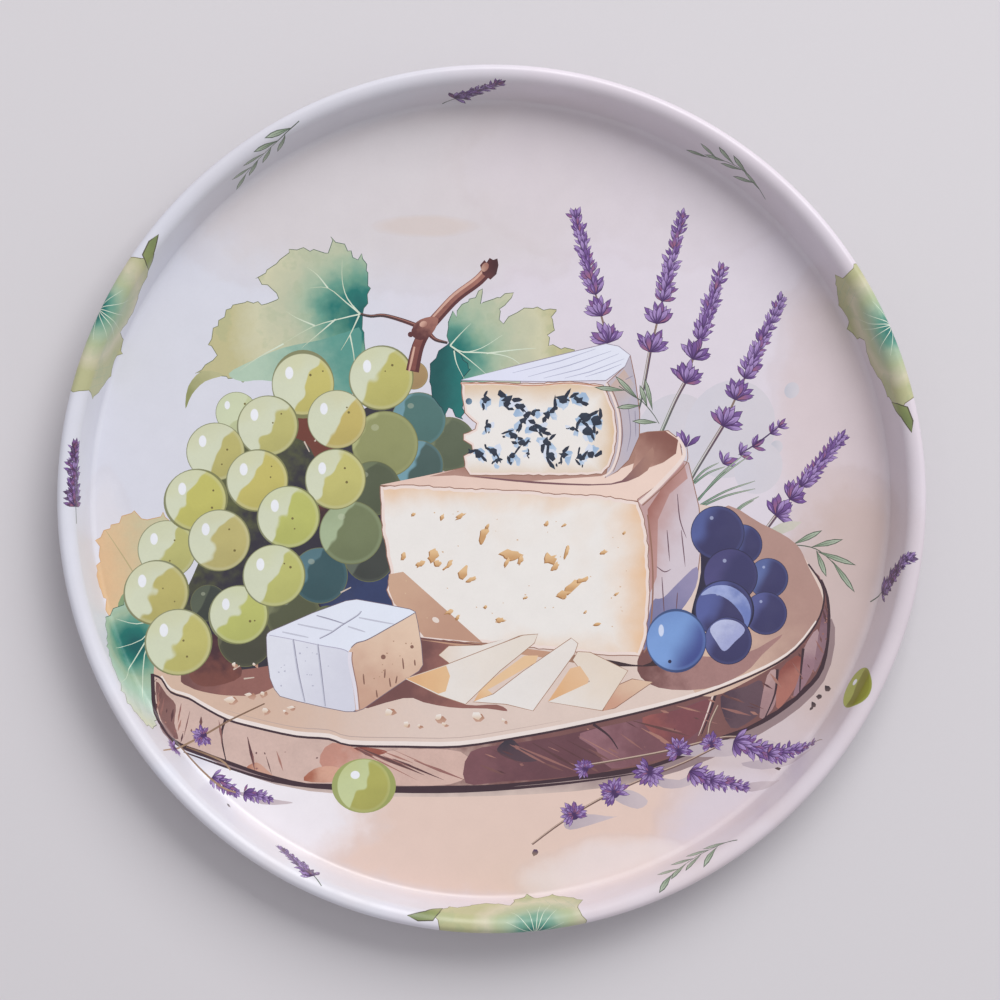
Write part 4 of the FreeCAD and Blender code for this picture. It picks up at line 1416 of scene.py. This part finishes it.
WARM_SIDES = [([(47.5, -80.5), (62, -70.5), (54, -69), (47, -72), (42.5, -81.5)], mix(206, 158, 134),
               mix(222, 190, 164)),
              ([(21.5, -78), (30, -65), (34, -64), (37.5, -69), (37, -71)], SLICE_WARM, mix(230, 190, 150)),
              ([(-7, -78), (0.5, -75), (-1.5, -73.5), (17, -63), (18, -60), (12.5, -60), (-4, -72)],
               SLICE_WARM, mix(232, 196, 154)),
              ([(-33, -69), (-17.5, -63.8), (-15.8, -68), (-17.5, -74), (-20.5, -75)], SLICE_WARM,
               mix(230, 190, 144))]
for number, (outline, near, far) in enumerate(SLICES):
    if number == 1:
        warm, warm_near, warm_far = WARM_SIDES[0]
        outlined(cheese_brush, warm, TAN_LINE, 0.3, warm_near, warm_far, warm[0], warm[2])
    outlined(cheese_brush, outline, mix(168, 128, 104), 0.28, near, far, outline[0], outline[4])
    if number > 0:
        warm, warm_near, warm_far = WARM_SIDES[number]
        draw(cheese_brush, inset(warm, 0.2), warm_near, warm_far, warm[0], warm[2])
CRUMBS = [(-39.5, -81.5, 2.0), (-33, -86.5, 1.2), (-20.5, -84, 1.7), (-18.5, -86.3, 1.0), (-28, -87, 0.8),
          (-6, -83.5, 2.0), (4.5, -85, 0.9), (-100.5, -77, 1.8), (-93, -75, 1.4), (-88, -74.5, 1.3),
          (-87, -81, 1.6), (-77, -80, 1.3), (-79.5, -81.6, 0.7), (-99, -63.5, 1.0), (-91, -63.5, 0.8)]
for east_at, north_at, size in CRUMBS:
    speck(cheese_brush, (east_at + 0.9, north_at - 0.7), size * 0.95, mix(176, 128, 104),
          mix(200, 160, 140), chance, 6)
    speck(cheese_brush, (east_at, north_at), size * 0.9, mix(240, 234, 228), mix(222, 196, 170), chance, 6)


# ---- The blue grapes -----------------------------------------
# Eight round blue-black fruits lie heaped against the wedge, in layers of dark and violet ink. The
# front one catches a sky-blue light, and pale shines lie across two of the others.
BERRY_DEEP = mix(60, 58, 102)
BERRY_MID = mix(86, 98, 156)
BERRY_LINE = mix(34, 30, 52)
blue_grape_ink = fruit("blue_grape_ink", BERRY_LINE, light_edge=0.3, window_place=(-0.22, 0.55),
                       window_size=(0.07, 0.07), window_colour=mix(196, 204, 236), window_share=0.5,
                       ragged_edge=0.3, soft=0.3)
sky_blue_grape_ink = fruit("sky_blue_grape_ink", mix(46, 60, 104), light_edge=-0.3,
                           window_place=(-0.5, 0.34), window_size=(0.09, 0.2),
                           window_colour=mix(220, 228, 248), window_share=0.85, ragged_edge=0.12, soft=0.45)
berry_brush = Brush("print_berries", blue_grape_ink)
sky_berry_brush = Brush("print_berries", sky_blue_grape_ink)
berry_shine_brush = Brush("print_berries", gap_ink)
draw(berry_shine_brush,
     loop([(80, -7), (86, -8), (92, -34), (86, -48), (78, -49), (77, -43), (80.5, -28)], 4),
     mix(44, 38, 66), mix(36, 32, 52), (84, -20), (76, -46))
BERRIES = [((96.5, -17.5), 7.8, mix(84, 96, 152)), ((87, -13), 10.4, BERRY_MID),
           ((106.5, -30.5), 7.8, mix(96, 112, 166)), ((105.5, -44), 8.3, mix(92, 98, 156)),
           ((92, -29.5), 10.5, mix(76, 72, 122))]
for middle, size, light in BERRIES:
    round_fruit(berry_brush, middle, size, light, BERRY_DEEP, chance.random())
round_fruit(berry_brush, (89.5, -42.5), 11.2, mix(88, 98, 158), BERRY_DEEP, 0.5, 1.04, -20)
draw(berry_shine_brush,
     loop([(80.5, -37), (85, -33.6), (92, -33.6), (98, -38), (99.8, -44), (98, -50), (96.5, -45),
           (92, -39.5), (86, -36.5)], 4), mix(160, 172, 216), mix(112, 128, 188), (84, -34), (99, -48))
round_fruit(berry_brush, (91, -54.5), 9.2, mix(90, 96, 150), BERRY_DEEP, 0.2)
draw(berry_shine_brush,
     loop([(84, -50), (88, -46.6), (94, -47), (97.5, -50.5), (93.5, -55), (89.5, -58.5), (86.5, -55)], 4),
     mix(188, 194, 226), mix(162, 168, 210), (84, -50), (92, -58))
round_fruit(sky_berry_brush, (71, -54.5), 11.6, mix(124, 160, 216), mix(70, 84, 150), 0.5, 1.06, 90)
draw(berry_shine_brush, ring((68.5, -62.5), 0.7, 10), mix(36, 36, 72))


# ---- The fallen lavender -------------------------------------
# Loose sprigs of lavender lie on the table in front of the board, with their shadows, a few dark
# crumbs and one grape that has rolled off.
fallen_brush = Brush("print_fallen_lavender", brushed("fallen_lavender_ink", mottle=0.16, grain=1.5))
fallen_shadow_brush = Brush("print_fallen_lavender", drop_ink)
SHADOW_LILAC = mix(186, 172, 180)
for outline in ([(28, -124), (36, -121), (47, -122), (52, -120.5), (40, -124.5), (30, -127)],
                [(46, -112), (54, -112), (60, -116), (56, -119), (48, -116)],
                [(60, -106), (72, -108), (80, -104), (76, -110), (66, -111)],
                [(94, -110.5), (104, -108.5), (112, -109.5), (100, -112.5)],
                [(96, -101.5), (112, -99.5), (126, -98.5), (134, -95.5), (120, -101), (104, -104)],
                [(-98, -112), (-84, -115), (-76, -116.5), (-88, -117)],
                [(68, -98), (90, -99), (110, -94), (96, -92), (76, -95)]):
    draw(fallen_shadow_brush, loop(outline), SHADOW_LILAC, mix(204, 190, 194), outline[0], outline[2])
for stem in ([(15.5, -132.5), (27, -124), (41, -115.5), (57, -108), (73.5, -101.5), (86, -95.5)],
             [(35, -102.5), (47.5, -100.5), (67.5, -96.8), (87, -92), (94, -91.5)],
             [(87, -79.5), (84, -86), (83, -92)]):
    stroke(fallen_brush, curve(stem), 1.0, mix(112, 84, 78), (0.8, 0.7))
    stroke(fallen_brush, curve(shifted(stem, 0, 0.25)), 0.45, mix(196, 172, 156), (0.8, 0.7))


TUFT_LAYERS = (0.9, 0.78, 0.62, 0.46)    # each ring's florets, as shares of the head's size
DROOP = 125                              # how far round to each side a ring reaches, in degrees


def tuft(at, heading, size, count, seed):
    """A round head of florets, in rings that droop almost all the way round, each shorter than the last."""
    chance = random.Random(seed)
    heart = ahead_of(at, heading + 180, size * 0.3)
    draw(fallen_brush, ring(heart, size * 0.36, 12), LAVENDER_DARK)
    for layer, reach in enumerate(TUFT_LAYERS):
        for turn in range(count):
            share = (turn + 0.5 * (layer % 2)) / (count - 1)
            angle = heading - DROOP + 2 * DROOP * share + chance.uniform(-9, 9)
            floret(fallen_brush, ahead_of(heart, angle, size * 0.06), angle,
                   size * reach * chance.uniform(0.85, 1.1), chance)


# each loose head: its place, its heading in degrees and its size
TUFTS = [((31, -119.5), 110, 6.2), ((46, -111), 120, 6.8), ((60, -107), 250, 7.2), ((34.5, -103), 150, 4.6),
         ((71.5, -95), 100, 6.0), ((84.5, -92.5), 90, 5.2)]
for number, (at, heading, size) in enumerate(TUFTS):
    tuft(at, heading, size * 0.95, 11, 70 + number)

# each loose spike: its base, its tip, and its florets' length
for number, (base, tip, size) in enumerate([((93, -93), (110, -98.5), 7.0), ((106, -98), (124, -95.5), 5.0),
                                            ((76, -104.5), (84, -108.5), 6.4),
                                            ((84, -108), (96, -110.5), 5.2)]):
    lying(fallen_brush, base, tip, size, 2.4, 81 + number)
stroke(fallen_brush, curve([(124, -96), (129, -95.5), (132, -96.5)]), 0.4, STEM_BROWN)
lying(fallen_brush, (-107, -106.5), (-99, -112), 5.0, 2.2, 85)
lying(fallen_brush, (-95, -112.5), (-86, -114.5), 4.4, 2.2, 86)
for stem in ([(-87, -78.5), (-100.5, -85), (-111, -91), (-125, -98), (-133, -102)],
             [(-120, -94), (-112, -103), (-104, -110), (-98, -112.5)],
             [(-117, -95), (-104, -100), (-100, -104)]):
    stroke(fallen_brush, curve(stem), 0.8, mix(126, 96, 76), (0.6, 0.7), mix(170, 140, 112))
tuft((-112, -91), 190, 4.6, 9, 91)
tuft((-124, -97), 200, 4.4, 8, 92)
speck(fallen_brush, (16.5, -135.5), 1.6, LAVENDER_DARK, STEM_BROWN, chance)
for at, size in (((124, -79), 1.3), ((126.5, -76), 1.1), ((129.2, -73), 1.3), ((123, -80.5), 0.8),
                 ((110, -103.5), 0.9), ((-102, -119), 1.0)):
    speck(fallen_brush, at, size, mix(52, 40, 48), mix(96, 78, 78), chance, 6)
bright_grape_ink = fruit("loose_grape_ink", mix(152, 160, 92), light_edge=0.1, window_place=(-0.32, 0.4),
                         window_size=(0.17, 0.15), window_colour=GRAPE_WINDOW, window_share=0.95)
round_fruit(Brush("print_fallen_lavender", bright_grape_ink), (-49, -110), 10.4, mix(198, 208, 156),
            mix(176, 174, 92), 0.6, 1.18, 0)
# The grape that is printed on the rim has the same ink.
rim_grape = on_rim(-27.5, 165.5)
round_fruit(Brush("print_rim_sprigs", bright_grape_ink), rim_grape, 9.0, mix(176, 184, 90),
            mix(136, 136, 44), 0.5)


# ---- Laying the print on the pan -----------------------------
# The whole picture is printed in one pass, so nothing in it overlaps: each shape is trimmed to
# what shows of it, and every corner goes where pressing takes that point of the blank.
CLOSE = 1e-4
corners, edges = [], []
for shape in picture:
    first, last = len(corners), len(corners) + len(shape.outline) - 1
    corners += [Vector(point) for point in shape.outline]
    edges += [(corner, corner + 1) for corner in range(first, last)] + [(last, first)]
ALL_TRIANGLES = 0
points, _, trimmed, _, _, _ = delaunay_2d_cdt(corners, edges, [], ALL_TRIANGLES, CLOSE, False)

formed, facing = [], []
for point in points:
    way = point.length
    across, up, out, rise = sheet_at(way, PRINT_LIFT)
    east, north = (point.x / way, point.y / way) if way > 0 else (1.0, 0.0)
    formed.append((across * east * MM, across * north * MM, up * MM))
    facing.append((out * east, out * north, rise))


def covered(outline, spots):
    """Which of the spots lie inside the outline, where it runs round them to the left."""
    start = np.array(outline)
    end = np.roll(start, -1, axis=0)
    east, north = spots[:, :1], spots[:, 1:]
    run_east, run_north = (end - start).T
    left = run_east * (north - start[:, 1]) - (east - start[:, 0]) * run_north
    rising = (start[:, 1] <= north) & (end[:, 1] > north) & (left > 0)
    falling = (start[:, 1] > north) & (end[:, 1] <= north) & (left < 0)
    return rising.sum(axis=1) > falling.sum(axis=1)


middles = np.array([point[:] for point in points])[np.array(trimmed)].mean(axis=1)
from_west = np.argsort(middles[:, 0])
east_of = middles[from_west, 0]
owner = np.zeros(len(trimmed), int)
for number, shape in enumerate(picture):
    if shape.sheet != "print_ground":
        low, high = np.min(shape.outline, axis=0), np.max(shape.outline, axis=0)
        close = from_west[np.searchsorted(east_of, low[0]):np.searchsorted(east_of, high[0])]
        close = close[(middles[close, 1] > low[1]) & (middles[close, 1] < high[1])]
        owner[close[covered(shape.outline, middles[close])]] = number

sheets = {}
for face, number in zip(trimmed, owner):
    sheets.setdefault(picture[number].sheet, []).append((face, picture[number]))

for name, faces in sheets.items():
    used = sorted({corner for face, _ in faces for corner in face})
    number = {corner: index for index, corner in enumerate(used)}
    mesh = bpy.data.meshes.new(name)
    mesh.from_pydata([formed[corner] for corner in used], [],
                     [[number[c] for c in face] for face, _ in faces])
    finishes = []
    for _, shape in faces:
        if shape.finish not in finishes:
            finishes.append(shape.finish)
    for finish in finishes:
        mesh.materials.append(finish.material)
    mesh.polygons.foreach_set("material_index", [finishes.index(shape.finish) for _, shape in faces])
    mesh.polygons.foreach_set("use_smooth", [True] * len(faces))
    near = mesh.attributes.new("pigment", "FLOAT_COLOR", "CORNER")
    near.data.foreach_set("color", [part for face, shape in faces for _ in face for part in shape.near])
    far = mesh.attributes.new("far_pigment", "FLOAT_COLOR", "CORNER")
    far.data.foreach_set("color", [part for face, shape in faces for _ in face for part in shape.far])
    place = mesh.attributes.new("place", "FLOAT_VECTOR", "CORNER")
    places = [shape.place(points[corner].x, points[corner].y) for face, shape in faces for corner in face]
    place.data.foreach_set("vector", [part for spot in places for part in spot])
    mesh.normals_split_custom_set_from_vertices([facing[corner] for corner in used])
    piece = bpy.data.objects.new(name, mesh)
    bpy.context.scene.collection.objects.link(piece)
    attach(piece, "root")


# ---- The table -----------------------------------------------
# A wide, even sheet of pale card with a faint tooth. The tray rests on it, and it belongs to the
# studio only, so it is not attached to the tray's body.
TABLE_SIZE = 3.0
TABLE_DROP = 0.0004          # the table's top is a hair under the tray, so the two never share a plane
table_form = bmesh.new()
bmesh.ops.create_grid(table_form, x_segments=1, y_segments=1, size=TABLE_SIZE)
bmesh.ops.translate(table_form, vec=(0, 0, -TABLE_DROP), verts=table_form.verts)
table_mesh = bpy.data.meshes.new("table")
table_form.to_mesh(table_mesh)
table_form.free()
table = bpy.data.objects.new("table", table_mesh)
bpy.context.scene.collection.objects.link(table)

TABLE_PALE = mix(215, 212, 215)
CARD_TOOTH = 0.8             # how far apart the card's fibres are, in mm
card = Finish("pale_card", Roughness=0.85)
card.coat("Base Color", card.scaled(TABLE_PALE[:3], 0.99 + 0.02 * card.noise(CARD_TOOTH)))
table.data.materials.append(card.material)
